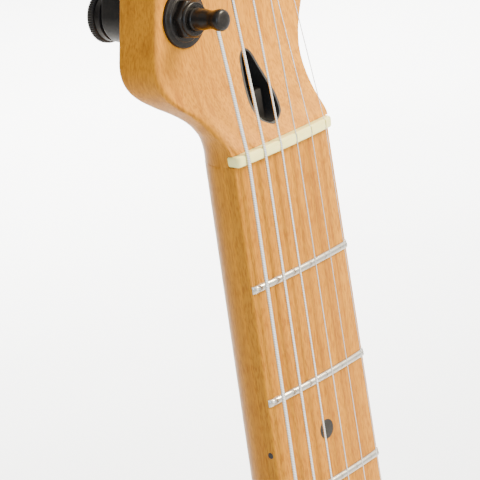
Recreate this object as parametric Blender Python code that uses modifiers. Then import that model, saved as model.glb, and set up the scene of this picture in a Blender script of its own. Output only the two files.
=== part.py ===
"""Six-string solid-body electric guitar, built as an assembly of separate pieces.

The guitar stands upright. +Z runs up the neck towards the headstock tip, -Y is the
front (the strings' side) and +X is the treble side. The origin is on the centreline,
on the fingerboard's surface, where the fingerboard meets the nut.
Sizes below are in millimetres and are turned into metres as each mesh is made.
"""
import math

import bmesh
import bpy
from mathutils import Matrix, Vector

MM = 0.001
GAP = 0.3                    # clearance between pieces that touch

# ---- driving sizes of the neck and the strings ---------------------------------
SCALE_LENGTH = 647.7
FRETS = 22
BOARD_RADIUS = 241.0
NUT_WIDTH = 42.5
WIDTH_AT_12 = 52.0
BOARD_THICK = 4.8
BOARD_END = -472.0
NUT_THICK = 3.2
NUT_RISE = 2.0
FRET_RISE = 1.1
FRET_WIDTH = 2.4
STRING_GAUGES = (1.17, 0.91, 0.66, 0.43, 0.33, 0.25)
STRING_SPREAD_NUT = 35.0
STRING_SPREAD_BRIDGE = 52.5

# ---- neck and headstock ---------------------------------------------------------
NECK_TOP = BOARD_THICK + GAP
NECK_BACK_NUT = 20.8
NECK_BACK_12 = 22.4
HEEL_BACK = 25.4
HEEL_START = -405.0
HEEL_RAMP = 40.0
HEAD_FACE = 11.3
HEAD_BACK = 25.7
LEDGE_Z = NUT_THICK + GAP
SCOOP_END = 40.0
HEAD_TIP = 187.0

# ---- tuners ---------------------------------------------------------------------
POST_LINE_ANGLE = math.radians(14.5)
POST_PITCH = 25.2
FIRST_POST = (-21.3, 42.8)
WORM_OFFSET = 12.4
POST_RADIUS = 3.0
WAIST_RADIUS = 2.55
WAIST_Y = 0.5
POST_TIP = -4.2
HOUSING_HALF = 7.4
HOUSING_DEPTH = 10.4
WHEEL_RADIUS = 7.8
WHEEL_DEPTH = 5.3

# ---- body -----------------------------------------------------------------------
BODY_FRONT = 9.5
BODY_THICK = 44.5
BODY_BACK = BODY_FRONT + BODY_THICK
EDGE_RADIUS = 9.0
POCKET_FLOOR = HEEL_BACK + GAP
GUARD_THICK = 2.3
GUARD_FACE = BODY_FRONT - GAP - GUARD_THICK

COLOURS = {
    "maple": ((0.74, 0.49, 0.25), 0.38, 0.0),
    "board_maple": ((0.76, 0.52, 0.27), 0.36, 0.0),
    "body_lacquer": ((0.52, 0.28, 0.11), 0.2, 0.0),
    "black_metal": ((0.02, 0.02, 0.022), 0.32, 0.9),
    "dark_steel": ((0.12, 0.12, 0.13), 0.35, 1.0),
    "fret_wire": ((0.72, 0.71, 0.68), 0.22, 1.0),
    "string_steel": ((0.70, 0.69, 0.66), 0.28, 1.0),
    "bone": ((0.86, 0.82, 0.66), 0.42, 0.0),
    "black_plastic": ((0.015, 0.015, 0.016), 0.35, 0.0),
    "guard_plastic": ((0.02, 0.02, 0.021), 0.25, 0.0),
}


# ---- scene and mesh helpers -------------------------------------------------------
def clear_scene():
    for old in list(bpy.data.objects):
        bpy.data.objects.remove(old, do_unlink=True)


def new_collection(name):
    found = bpy.data.collections.new(name)
    bpy.context.scene.collection.children.link(found)
    return found


clear_scene()
PARTS = new_collection("electric_guitar")
CUTTERS = new_collection("cutters")


def material(slot, name):
    colour, roughness, metallic = COLOURS[slot]
    made = bpy.data.materials.new(name + "_" + slot)
    made.use_nodes = True
    shader = made.node_tree.nodes["Principled BSDF"]
    shader.inputs["Base Color"].default_value = (*colour, 1.0)
    shader.inputs["Roughness"].default_value = roughness
    shader.inputs["Metallic"].default_value = metallic
    return made


def add_object(name, bm, slot=None, matrix=None):
    """Make an object from a bmesh in millimetres. Without a slot it is a cutter."""
    bmesh.ops.recalc_face_normals(bm, faces=bm.faces)
    mesh = bpy.data.meshes.new(name)
    bm.transform(Matrix.Scale(MM, 4))
    bm.to_mesh(mesh)
    bm.free()
    return add_data(name, mesh, slot, matrix)


def add_data(name, data, slot=None, matrix=None):
    made = bpy.data.objects.new(name, data)
    if matrix is not None:
        made.matrix_world = matrix
    if slot is None:
        CUTTERS.objects.link(made)
        made.hide_render = True
        made.display_type = "WIRE"
        return made
    PARTS.objects.link(made)
    data.materials.append(material(slot, name))
    if isinstance(data, bpy.types.Mesh):
        data.shade_smooth()
        data.set_sharp_from_angle(angle=math.radians(35))
    return made


def boolean(target, tool, operation="DIFFERENCE"):
    step = target.modifiers.new(operation.lower() + "_" + tool.name, "BOOLEAN")
    step.operation = operation
    step.object = tool
    step.solver = "EXACT"
    return target


def bevel(target, width, segments=2):
    step = target.modifiers.new("edge_bevel", "BEVEL")
    step.width = width * MM
    step.segments = segments
    step.limit_method = "ANGLE"
    step.angle_limit = math.radians(40)
    return target


def place(x, y, z, spin=0.0, pitch=0.0):
    """A frame at a point in mm, leaned by spin about +Y, then turned by pitch about X."""
    shift = Matrix.Translation(Vector((x, y, z)) * MM)
    return shift @ Matrix.Rotation(spin, 4, "Y") @ Matrix.Rotation(pitch, 4, "X")


def box_mesh(low, high):
    bm = bmesh.new()
    bmesh.ops.create_cube(bm, size=1.0)
    size = [b - a for a, b in zip(low, high)]
    middle = [(a + b) / 2 for a, b in zip(low, high)]
    bmesh.ops.scale(bm, vec=size, verts=bm.verts)
    bmesh.ops.translate(bm, vec=middle, verts=bm.verts)
    return bm


def box(name, low, high, slot=None, matrix=None):
    return add_object(name, box_mesh(low, high), slot, matrix)


def rod(name, radius, start, end, slot=None, matrix=None, segments=16):
    """A straight round bar between two points in mm."""
    a, b = Vector(start), Vector(end)
    bm = bmesh.new()
    turn = (b - a).to_track_quat("Z", "Y").to_matrix().to_4x4()
    bmesh.ops.create_cone(bm, cap_ends=True, segments=segments, radius1=radius, radius2=radius,
                          depth=(b - a).length, matrix=Matrix.Translation((a + b) / 2) @ turn)
    return add_object(name, bm, slot, matrix)


def turned(name, profile, slot=None, matrix=None, steps=20):
    """Turn a profile of (radius, height), listed from top to bottom, about local Z.

    A profile that ends on its first point is a ring with a hole through it.
    """
    mesh = bpy.data.meshes.new(name)
    ring = profile[0] == profile[-1]
    points = [(r * MM, 0.0, h * MM) for r, h in (profile[:-1] if ring else profile)]
    edges = [(i, i + 1) for i in range(len(points) - 1)]
    if ring:
        edges.append((len(points) - 1, 0))
    mesh.from_pydata(points, edges, [])
    made = add_data(name, mesh, slot, matrix)
    turn = made.modifiers.new("turn", "SCREW")
    turn.axis = "Z"
    turn.angle = math.tau
    turn.steps = steps
    turn.render_steps = steps
    turn.use_merge_vertices = True
    turn.merge_threshold = 0.00001
    turn.use_smooth_shade = True
    return made


def loft(name, rings, slot=None, matrix=None):
    """Skin a list of rings, each with the same number of points in mm, and cap both ends."""
    bm = bmesh.new()
    rows = [[bm.verts.new(p) for p in ring] for ring in rings]
    count = len(rows[0])
    for low, high in zip(rows, rows[1:]):
        for i in range(count):
            j = (i + 1) % count
            bm.faces.new((low[i], low[j], high[j], high[i]))
    bm.faces.new(rows[0])
    bm.faces.new(rows[-1])
    return add_object(name, bm, slot, matrix)


def flat_outline(name, points, y_front, y_back, slot=None, matrix=None):
    """Extrude an outline of (x, z) points between two depths."""
    rings = [[(x, y, z) for x, z in points] for y in (y_front, y_back)]
    return loft(name, rings, slot, matrix)


def smooth_closed(points, per_span):
    """A closed Catmull-Rom curve through (x, z) points."""
    result = []
    count = len(points)
    for i in range(count):
        p0, p1, p2, p3 = (Vector(points[(i + k) % count]) for k in (-1, 0, 1, 2))
        for step in range(per_span):
            t = step / per_span
            point = 0.5 * ((2 * p1) + (p2 - p0) * t + (2 * p0 - 5 * p1 + 4 * p2 - p3) * t * t
                           + (3 * p1 - p0 - 3 * p2 + p3) * t ** 3)
            result.append((point.x, point.y))
    return result


def ease(t):
    t = min(max(t, 0.0), 1.0)
    return t * t * (3 - 2 * t)


def follow(table, z):
    """Smooth value at z from a table of (z, value) rows in rising z."""
    if z <= table[0][0]:
        return table[0][1]
    for i in range(len(table) - 1):
        (z0, v0), (z1, v1) = table[i], table[i + 1]
        if z <= z1:
            before = table[max(i - 1, 0)]
            after = table[min(i + 2, len(table) - 1)]
            slope0 = (v1 - before[1]) / (z1 - before[0])
            slope1 = (after[1] - v0) / (after[0] - z0)
            t, span = (z - z0) / (z1 - z0), z1 - z0
            return ((2 * t ** 3 - 3 * t ** 2 + 1) * v0 + (t ** 3 - 2 * t ** 2 + t) * span * slope0
                    + (3 * t ** 2 - 2 * t ** 3) * v1 + (t ** 3 - t ** 2) * span * slope1)
    return table[-1][1]


# ---- rules that several pieces share ----------------------------------------------
def fret_z(number):
    return SCALE_LENGTH / 2 ** (number / 12) - SCALE_LENGTH


def half_width(z):
    """Half the fingerboard's width at z."""
    slope = (WIDTH_AT_12 - NUT_WIDTH) / 2 / -fret_z(12)
    return NUT_WIDTH / 2 - slope * min(z, 0.0)


def crown(x):
    """How far the radiused fingerboard falls away at x."""
    return BOARD_RADIUS - math.sqrt(BOARD_RADIUS ** 2 - x * x)


def string_x(index, spread):
    return -spread / 2 + index * spread / 5


def string_at_nut(index):
    x = string_x(index, STRING_SPREAD_NUT)
    return Vector((x, crown(x) - 1.55 - STRING_GAUGES[index] / 2, NUT_THICK / 2))


def string_at_saddle(index):
    x = string_x(index, STRING_SPREAD_BRIDGE)
    return Vector((x, crown(x) - 4.65 - STRING_GAUGES[index] / 2, -SCALE_LENGTH))


def post_place(index):
    x0, z0 = FIRST_POST
    run = index * POST_PITCH
    return x0 + run * math.sin(POST_LINE_ANGLE), z0 + run * math.cos(POST_LINE_ANGLE)


# ---- neck -------------------------------------------------------------------------
BASS_EDGE = [(0.0, NUT_WIDTH / 2), (LEDGE_Z, 21.3), (7.0, 21.9), (10.0, 23.2), (13.0, 24.9), (16.2, 27.6),
             (19.2, 30.9), (22.9, 34.2), (26.5, 35.7), (30.5, 35.8), (36.0, 34.4), (60.0, 28.2),
             (120.0, 12.7), (160.0, 2.4), (174.0, -1.6), (183.0, -6.0), (HEAD_TIP, -12.5)]
TREBLE_EDGE = [(0.0, NUT_WIDTH / 2), (LEDGE_Z, 21.7), (7.0, 22.1), (12.0, 22.1), (16.0, 22.2), (20.0, 22.7),
               (24.0, 23.8), (28.0, 25.6), (32.0, 27.9), (36.0, 30.3), (41.0, 33.0), (48.0, 35.8),
               (56.0, 37.2), (66.0, 37.0), (90.0, 33.6), (130.0, 29.6), (160.0, 27.4), (174.0, 25.6),
               (183.0, 21.4), (HEAD_TIP, 15.8)]


def front_depth(x, z):
    """Depth of the wood's front face: under the board, the nut's seat, the scoop, the flat face."""
    if z < LEDGE_Z:
        return NECK_TOP
    run = min((z - LEDGE_Z) / (SCOOP_END - LEDGE_Z), 1.0)
    scoop = 0.6 + (HEAD_FACE - 0.6) * (1 - (1 - run) ** 1.9)
    return max(scoop, crown(x) if z < 12 else 0.0)


def back_depth(z):
    if z >= 0:
        return NECK_BACK_NUT + (HEAD_BACK - NECK_BACK_NUT) * ease(z / 34.0)
    grown = NECK_BACK_NUT + (NECK_BACK_12 - NECK_BACK_NUT) * z / fret_z(12)
    return grown + (HEEL_BACK - grown) * ease((HEEL_START + HEEL_RAMP - z) / HEEL_RAMP)


def squareness(z):
    """Exponent of the back's curve: 2 is an oval, a high number is a square block."""
    if z >= 0:
        return 2.2 + 40.0 * ease(z / 36.0) ** 4.2
    return 2.25 + 9.0 * ease((HEEL_START + HEEL_RAMP - z) / HEEL_RAMP)


def neck_ring(z, front_points, back_points, corner_steps):
    bass = follow(BASS_EDGE, z) if z > 0 else half_width(z)
    treble = follow(TREBLE_EDGE, z) if z > 0 else half_width(z)
    radius = 1.3 if z > LEDGE_Z + 0.2 else 0.15
    ring = []
    for i in range(front_points):
        x = -bass + radius + (bass + treble - 2 * radius) * i / (front_points - 1)
        ring.append((x, front_depth(x, z), z))
    edge_y = front_depth(treble, z)
    for i in range(1, corner_steps + 1):
        a = math.pi / 2 * i / corner_steps
        ring.append((treble - radius + radius * math.sin(a), edge_y + radius * (1 - math.cos(a)), z))
    start = edge_y + radius + 0.6
    power = 2 / squareness(z)
    for i in range(back_points + 1):
        a = math.pi * i / back_points
        side = treble if i < back_points / 2 else -bass
        x = side * abs(math.cos(a)) ** power
        ring.append((x, start + (back_depth(z) - start) * math.sin(a) ** power, z))
    edge_y = front_depth(bass, z)
    for i in range(corner_steps):
        a = math.pi / 2 * (1 - i / corner_steps)
        ring.append((-bass + radius - radius * math.sin(a), edge_y + radius * (1 - math.cos(a)), z))
    return ring


def neck_stations():
    """Heights of the neck's sections: close together where the shape changes."""
    heel = [BOARD_END, HEEL_START, HEEL_START + 8, HEEL_START + 18, HEEL_START + 28, HEEL_START + HEEL_RAMP]
    shaft = [-240.0, -120.0, -1.0, LEDGE_Z - 0.02, LEDGE_Z]
    scoop = [6.0, 9.5, 13.0, 16.5, 20.0, 23.5, 27.0, 31.0, 35.5, SCOOP_END]
    head = [46.0, 53.0, 64.0, 90.0, 125.0, 158.0, 170.0, 177.0, 182.0, 185.0, HEAD_TIP]
    return heel + shaft + scoop + head


def build_neck():
    neck = loft("neck", [neck_ring(z, 4, 10, 1) for z in neck_stations()], "maple")
    boolean(neck, box("rod_channel", (-3.2, NECK_TOP - 2, -452), (3.2, 14.2, 9)))
    pocket = []
    for z, half in ((7.7, 2.6), (9.6, 4.9), (13.6, 5.7), (18.0, 5.0), (23.0, 3.7), (27.0, 2.4)):
        pocket.append((half, z))
    outline = pocket + [(-half, z) for half, z in reversed(pocket)]
    boolean(neck, flat_outline("pocket_cutter", outline, -5, 15.2))
    boolean(neck, rod("rod_nut_room", 4.1, (0, 10.2, 3.4), (0, 10.2, 18.0)))
    for index in range(6):
        x, z = post_place(index)
        boolean(neck, rod(f"post_hole_{index}", 5.0, (x, 5, z), (x, 30, z)))
    for x, z in plate_screw_places():
        boolean(neck, rod(f"pilot_{x:.0f}_{z:.0f}", 2.5, (x, 11, z), (x, 30, z), segments=8))
    return neck


def plate_screw_places():
    return [(x, z) for x in (-19.0, 19.0) for z in (-463.0, -423.0)]


def build_fingerboard():
    rings = []
    for z in (BOARD_END, -GAP):
        half = half_width(z)
        xs = [half - half * 2 * i / 6 for i in range(7)]
        rings.append([(x, crown(x), z) for x in xs] + [(-half, BOARD_THICK, z), (half, BOARD_THICK, z)])
    board = loft("fingerboard", rings, "board_maple")
    slots = bmesh.new()
    for number in range(1, FRETS + 1):
        z = fret_z(number)
        add_box(slots, (-40, -4, z - 0.6), (40, 2.4, z + 0.6))
    boolean(board, add_object("fret_slots", slots))
    boolean(board, box("rail_groove", (-1.0, 1.2, fret_z(FRETS) - 1.4), (1.0, 6, fret_z(1) + 1.4)))
    return board


def add_box(bm, low, high):
    made = bmesh.ops.create_cube(bm, size=1.0)["verts"]
    bmesh.ops.scale(bm, vec=[b - a for a, b in zip(low, high)], verts=made)
    bmesh.ops.translate(bm, vec=[(a + b) / 2 for a, b in zip(low, high)], verts=made)


def build_frets():
    """Fret wires whose tangs share one thin rail under the board."""
    wires = bmesh.new()
    for number in range(1, FRETS + 1):
        z = fret_z(number)
        half = half_width(z) - 0.4
        section = [(-FRET_WIDTH / 2, -GAP), (-FRET_WIDTH / 4, -FRET_RISE), (FRET_WIDTH / 4, -FRET_RISE),
                   (FRET_WIDTH / 2, -GAP), (0.3, -GAP), (0.3, 1.9), (-0.3, 1.9), (-0.3, -GAP)]
        rows = []
        for step in range(4):
            x = -half + 2 * half * step / 3
            fall = crown(x)
            rows.append([wires.verts.new((x, min(y + fall, 1.9), z + dz)) for dz, y in section])
        for low, high in zip(rows, rows[1:]):
            for i in range(len(section)):
                j = (i + 1) % len(section)
                wires.faces.new((low[i], low[j], high[j], high[i]))
        wires.faces.new(rows[0])
        wires.faces.new(rows[-1])
    frets = add_object("frets", wires, "fret_wire")
    rail = box("tang_rail", (-0.6, 1.6, fret_z(FRETS) - 0.5), (0.6, 3.4, fret_z(1) + 0.5))
    return boolean(frets, rail, "UNION")


def build_nut():
    half = NUT_WIDTH / 2 - 0.2
    rings = []
    for z, rise in ((0.0, NUT_RISE - 0.25), (NUT_THICK, NUT_RISE)):
        xs = [half - 2 * half * i / 8 for i in range(9)]
        top = [(x, crown(x) - rise, z) for x in xs]
        rings.append(top + [(-half, BOARD_THICK, z), (half, BOARD_THICK, z)])
    nut = loft("nut", rings, "bone")
    for index, gauge in enumerate(STRING_GAUGES):
        at = string_at_nut(index)
        reach = gauge / 2 + GAP
        low = (at.x - reach, -8, -3)
        boolean(nut, box(f"nut_slot_{index}", low, (at.x + reach, at.y + reach, 6)))
    return nut


def build_truss_rod():
    shaft = rod("truss_rod", 2.3, (0, 10.2, -448), (0, 10.2, 6.0), "dark_steel", segments=10)
    nut = rod("rod_hex", 3.6, (0, 10.2, 4.0), (0, 10.2, 17.0), segments=6)
    boolean(shaft, nut, "UNION")
    key = rod("rod_key_socket", 1.9, (0, 10.2, 11.0), (0, 10.2, 20.0), segments=6)
    return boolean(shaft, key)


def build_string_tree():
    """T-shaped retainer that holds the two highest strings down; its stem is screwed to the face."""
    places = [string_at_tree(index) for index in (4, 5)]
    x = sum(place.x for place in places) / 2
    z = places[0].z
    bar_y = max(place.y for place in places) - 1.2
    tree = box("string_tree", (x - 6.2, bar_y - 1.3, z - 2.0), (x + 6.2, bar_y, z + 2.0), "black_metal")
    boolean(tree, box("tree_stem", (x - 1.6, bar_y - 0.5, z - 1.6), (x + 1.6, HEAD_FACE - GAP, z + 1.6)),
            "UNION")
    return bevel(tree, 0.5, 1)


TREE_Z = 72.0


def string_at_tree(index):
    """Where the two highest strings pass under the tree's arms."""
    nut = string_at_nut(index)
    x_post, z_post = post_place(index)
    share = (TREE_Z - nut.z) / (z_post - nut.z)
    return Vector((nut.x + (x_post + 3.0 - nut.x) * share + 1.0, 7.6, TREE_Z))


# ---- strings ----------------------------------------------------------------------
WALL_Z = -672.0


def string_points(index):
    """From behind the bridge's wall, over the saddle and the nut, to a half turn round the post."""
    nut, saddle = string_at_nut(index), string_at_saddle(index)
    x_post, z_post = post_place(index)
    reach = WAIST_RADIUS + GAP + 0.1 + STRING_GAUGES[index] / 2
    points = [Vector((saddle.x, 1.5, WALL_Z - 4)), Vector((saddle.x, 1.0, WALL_Z + 1)), saddle, nut]
    if index >= 4:
        points.append(string_at_tree(index))
    for step in range(9):
        a = math.radians(25 * step)
        points.append(Vector((x_post + reach * math.cos(a), WAIST_Y, z_post + reach * math.sin(a))))
    return points


def build_string(index):
    curve = bpy.data.curves.new(f"string_{index + 1}", "CURVE")
    curve.dimensions = "3D"
    curve.bevel_depth = STRING_GAUGES[index] / 2 * MM
    curve.bevel_resolution = 1
    curve.resolution_u = 1
    curve.render_resolution_u = 0
    curve.use_fill_caps = True
    points = string_points(index)
    spline = curve.splines.new("POLY")
    spline.points.add(len(points) - 1)
    for target, point in zip(spline.points, points):
        target.co = (*(point * MM), 1.0)
    return add_data(f"string_{6 - index}", curve, "string_steel")


# ---- tuners -----------------------------------------------------------------------
def build_tuner(index):
    """One sealed locking tuner. Local -Z points to the back, local Y runs along the post line."""
    number = 6 - index
    x, z = post_place(index)
    frame = place(x, 0, z, POST_LINE_ANGLE, math.pi / 2)
    back = -(HEAD_BACK + GAP)
    rear = back - HOUSING_DEPTH

    outline = [(-HOUSING_HALF, 0.0)]
    for step in range(1, 8):
        a = math.pi + math.pi * step / 8
        outline.append((HOUSING_HALF * math.cos(a), HOUSING_HALF * math.sin(a)))
    top = WORM_OFFSET + 4.2
    outline += [(HOUSING_HALF, 0.0), (HOUSING_HALF, top - 1.5), (HOUSING_HALF - 1.5, top),
                (1.5 - HOUSING_HALF, top), (-HOUSING_HALF, top - 1.5)]
    rings = [[(px, py, h) for px, py in outline] for h in (back, rear)]
    housing = loft(f"tuner_housing_{number}", rings, "black_metal", frame)
    boolean(housing, rod(f"gear_room_{number}", 6.2, (0, 0, back + 2), (0, 0, rear + 2.2), matrix=frame))
    boolean(housing, rod(f"post_room_{number}", 3.5, (0, 0, back), (0, 0, rear - 2), matrix=frame,
                         segments=12))
    worm_z = (back + rear) / 2
    worm_room = box_mesh((-5.0, WORM_OFFSET - 3.1, rear + 2.2), (5.0, WORM_OFFSET + 3.1, back + 2))
    boolean(housing, add_object(f"worm_room_{number}", worm_room, None, frame))
    boolean(housing, rod(f"shaft_room_{number}", 2.4, (-12, WORM_OFFSET, worm_z), (0, WORM_OFFSET, worm_z),
                         matrix=frame, segments=10))

    sleeve = turned(f"tuner_bushing_{number}", [
        (3.35, -(HEAD_FACE - 4.6)), (4.9, -(HEAD_FACE - 4.6)), (4.9, -(HEAD_FACE - 1.4)),
        (8.2, -(HEAD_FACE - 1.3)), (8.2, -(HEAD_FACE - GAP)), (4.7, -(HEAD_FACE - GAP)),
        (4.7, -(HEAD_BACK - 0.4)), (3.35, -(HEAD_BACK - 0.4)),
        (3.35, -(HEAD_FACE - 4.6))], "black_metal", frame, 12)
    hexagon = rod(f"bushing_hex_{number}", 6.0, (0, 0, -(HEAD_FACE - 1.0)), (0, 0, -(HEAD_FACE - 3.6)),
                  matrix=frame, segments=6)
    boolean(hexagon, rod(f"hex_bore_{number}", 4.0, (0, 0, -20), (0, 0, 0), matrix=frame, segments=12))
    boolean(sleeve, hexagon, "UNION")

    waist = -WAIST_Y
    turned(f"tuner_post_{number}", [
        (0.0, -POST_TIP), (2.5, -POST_TIP - 0.2), (3.1, -POST_TIP - 0.9), (3.1, -POST_TIP - 1.9),
        (WAIST_RADIUS, waist + 0.8), (WAIST_RADIUS, waist - 0.8), (POST_RADIUS, waist - 2.6),
        (POST_RADIUS, back - 2.4), (5.6, back - 2.4),
        (5.6, back - 6.6), (POST_RADIUS, back - 6.6), (POST_RADIUS, rear - 1.6), (0.0, rear - 1.6)],
        "black_metal", frame, 10)

    wheel = turned(f"tuner_lock_wheel_{number}", [
        (0.0, rear - 3.0), (3.4, rear - 3.0), (3.4, rear - GAP), (7.3, rear - GAP), (7.3, rear - 2.6),
        (WHEEL_RADIUS, rear - 2.8), (WHEEL_RADIUS, rear - WHEEL_DEPTH + 0.6), (6.4, rear - WHEEL_DEPTH),
        (0.0, rear - WHEEL_DEPTH)], "black_metal", frame, 14)

    shaft_frame = frame @ Matrix.Translation(Vector((0, WORM_OFFSET, worm_z)) * MM)
    shaft_frame = shaft_frame @ Matrix.Rotation(-math.pi / 2, 4, "Y")
    button = turned(f"tuner_button_{number}", [
        (0.0, 33.0), (3.4, 32.2), (5.6, 28.4), (5.6, 25.0), (3.4, 19.8), (2.0, 18.4), (2.0, 4.5),
        (2.7, 4.3), (2.7, -4.3), (0.0, -4.5)], "black_metal", shaft_frame, 10)
    for side in (-1, 1):
        slab = box_mesh((-9, min(side * 2.9, side * 9), 19.2), (9, max(side * 2.9, side * 9), 36))
        boolean(button, add_object(f"button_flat_{number}_{side}", slab, None, shaft_frame))
    return wheel


# ---- body -------------------------------------------------------------------------
BODY_POINTS = [(0, -798), (-62, -793), (-118, -770), (-154, -722), (-160, -668), (-145, -612),
               (-121, -566), (-112, -528), (-119, -484), (-135, -438), (-147, -396), (-147, -362),
               (-133, -340), (-113, -338), (-93, -353), (-72, -380), (-51, -398), (-34, -402),
               (0, -403), (34, -408), (50, -420), (72, -421), (91, -406), (108, -393), (126, -392),
               (137, -408), (138, -438), (127, -486), (112, -530), (110, -566), (124, -612), (148, -660),
               (161, -708), (154, -752), (122, -783), (64, -796)]


def forearm(x, z):
    """How deep the forearm contour is cut into the front at a point."""
    reach = (-x - 78) * 0.86 + (-z - 690) * 0.5
    return 13.0 * min(max(reach / 82, 0.0), 1.0) ** 1.5


def belly(x, z):
    """How deep the belly contour is cut into the back at a point."""
    reach = (-x - 52) * 0.97 - abs(z + 528) * 0.42 + 22
    return 15.0 * min(max(reach / 80, 0.0), 1.0) ** 1.4


def body_mesh(outline, corner_steps, cell):
    """Outline rings with rounded edges, and gridded faces that follow both contours."""
    count = len(outline)
    points = [Vector(p) for p in outline]
    inward = []
    for i in range(count):
        along = (points[(i + 1) % count] - points[i - 1]).normalized()
        inward.append(Vector((along.y, -along.x)))
    bm = bmesh.new()
    rows = []
    for side, face in ((1, BODY_FRONT), (-1, BODY_BACK)):
        steps = range(corner_steps + 1) if side > 0 else reversed(range(corner_steps + 1))
        for step in steps:
            a = math.pi / 2 * (1 - step / corner_steps)
            inset = EDGE_RADIUS * (1 - math.cos(a))
            depth = face + side * EDGE_RADIUS * (1 - math.sin(a))
            ring = [p + n * inset for p, n in zip(points, inward)]
            rows.append([bm.verts.new((p.x, depth, p.y)) for p in ring])
    for low, high in zip(rows, rows[1:]):
        for i in range(count):
            j = (i + 1) % count
            bm.faces.new((low[i], low[j], high[j], high[i]))
    caps = [bm.faces.new(rows[0]), bm.faces.new(rows[-1])]
    xs = range(-160, 161, cell)
    zs = range(-800, -330, cell)
    for cap_y in (BODY_FRONT, BODY_BACK):
        for normal, cuts in (((1, 0, 0), xs), ((0, 0, 1), zs)):
            for at in cuts:
                faces = [f for f in bm.faces if all(abs(v.co.y - cap_y) < 0.01 for v in f.verts)]
                edges = {e for f in faces for e in f.edges}
                verts = {v for f in faces for v in f.verts}
                spot = Vector(normal) * at
                bmesh.ops.bisect_plane(bm, geom=faces + list(edges) + list(verts), plane_co=spot,
                                       plane_no=normal, dist=0.001)
    bmesh.ops.triangulate(bm, faces=bm.faces)
    middle = (BODY_FRONT + BODY_BACK) / 2
    for v in bm.verts:
        if v.co.y < middle:
            v.co.y += forearm(v.co.x, v.co.z)
        else:
            v.co.y -= belly(v.co.x, v.co.z)
    return bm


def build_body():
    outline = smooth_closed(BODY_POINTS, 2)
    body = add_object("body", body_mesh(outline, 2, 60), "body_lacquer")
    half = half_width(BOARD_END) + GAP
    boolean(body, box("neck_pocket", (-half, 0, BOARD_END - GAP), (half, POCKET_FLOOR, -380)))
    boolean(body, box("pickup_cavity", (-40, 0, -623), (40, 34, -479)))
    boolean(body, box("wiring_channel", (38, 0, -625), (50, 30, -606)))
    boolean(body, box("switch_cavity", (47, 0, -656), (80, 42, -596)))
    boolean(body, box("pot_cavity", (68, 0, -732), (100, 42, -640)))
    for x, z in plate_screw_places():
        boolean(body, rod(f"screw_hole_{x:.0f}_{z:.0f}", 2.6, (x, 20, z), (x, 60, z), segments=8))
    boolean(body, jack_cutter())
    for number, (spot, out) in enumerate(strap_places()):
        inner = spot - out * 22
        boolean(body, rod(f"strap_hole_{number}", 2.2, inner, spot + out * 5, segments=8))
    return body


def strap_places():
    """Where the two strap buttons stand on the body's rim, and which way they point."""
    middle = (BODY_FRONT + BODY_BACK) / 2
    outline = smooth_closed(BODY_POINTS, 2)
    horn_x, horn_z = max(outline, key=lambda point: point[1] if point[0] < 0 else point[1] - 100)
    tail_z = min(z for x, z in outline)
    return [(Vector((horn_x, middle, horn_z)), Vector((0.0, 0.0, 1.0))),
            (Vector((0.0, middle, tail_z)), Vector((0.0, 0.0, -1.0)))]


def build_strap_button(name, spot, out):
    turn = out.to_track_quat("Z", "Y").to_matrix().to_4x4()
    frame = Matrix.Translation(spot * MM) @ turn
    return turned(name, [(0.0, 14.0), (5.0, 14.0), (6.6, 12.8), (6.6, 11.6), (3.6, 9.0), (3.6, 4.0),
                         (7.0, 1.6), (7.0, 0.6), (1.8, 0.6), (1.8, -16.0), (0.0, -20.0)],
                  "black_metal", frame, 12)


JACK_SPOT = Vector((160.2, 32.0, -712.0))
JACK_OUT = Vector((1.0, 0.0, 0.0))


def jack_cutter():
    return rod("jack_hole", 11.5, JACK_SPOT - JACK_OUT * 78, JACK_SPOT + JACK_OUT * 5, segments=16)


def build_output_jack():
    """Recessed cup with a flange on the rim and an open 6.35 mm socket."""
    turn = JACK_OUT.to_track_quat("Z", "Y").to_matrix().to_4x4()
    frame = Matrix.Translation(JACK_SPOT * MM) @ turn
    return turned("output_jack", [
        (10.0, 3.2), (14.2, 3.2), (14.6, 2.8), (14.6, 1.4), (10.9, 1.4), (10.9, -30.0), (5.2, -30.0),
        (5.2, -42.0), (3.3, -42.0), (3.3, -14.0), (9.6, -14.0), (9.6, 2.8), (10.0, 3.2)],
        "black_metal", frame, 16)


# ---- pickguard, electronics and bridge ----------------------------------------------
GUARD_POINTS = [(-33, -484), (-48, -486), (-66, -508), (-60, -560), (-58, -600), (-44, -625), (-10, -629),
                (30, -629), (43, -634), (46, -655), (50, -705), (64, -742), (94, -750), (112, -738),
                (118, -705),
                (104, -640), (86, -580), (84, -530), (92, -480), (90, -452), (74, -446), (54, -452),
                (44, -470), (34, -483)]
PICKUPS = (("neck_pickup", -502.0), ("bridge_pickup", -601.0))
KNOBS = (("volume", (84.0, -660.0)), ("tone", (84.0, -716.0)))
SWITCH_SPOT = (66.0, -622.0)


def build_pickguard():
    outline = smooth_closed(GUARD_POINTS, 2)
    guard = flat_outline("pickguard", outline, GUARD_FACE, GUARD_FACE + GUARD_THICK, "guard_plastic")
    half = half_width(BOARD_END) + 0.8
    boolean(guard, box("guard_neck_cut", (-half, 0, BOARD_END - 0.8), (half, 20, -440)))
    for name, z in PICKUPS:
        boolean(guard, box(name + "_window", (-35.8, 0, z - 19.8), (35.8, 20, z + 19.8)))
    for name, (x, z) in KNOBS:
        boolean(guard, rod(name + "_hole", 4.9, (x, 0, z), (x, 20, z), segments=12))
    x, z = SWITCH_SPOT
    boolean(guard, box("switch_slot", (x - 1.6, 0, z - 13), (x + 1.6, 20, z + 13)))
    return guard


def build_pickup(name, z):
    pickup = box(name, (-35.0, 3.6, z - 19.0), (35.0, 27.0, z + 19.0), "black_plastic")
    boolean(pickup, box(name + "_split", (-36, 0, z - 0.8), (36, 8, z + 0.8)))
    return bevel(pickup, 1.4, 1)


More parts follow.
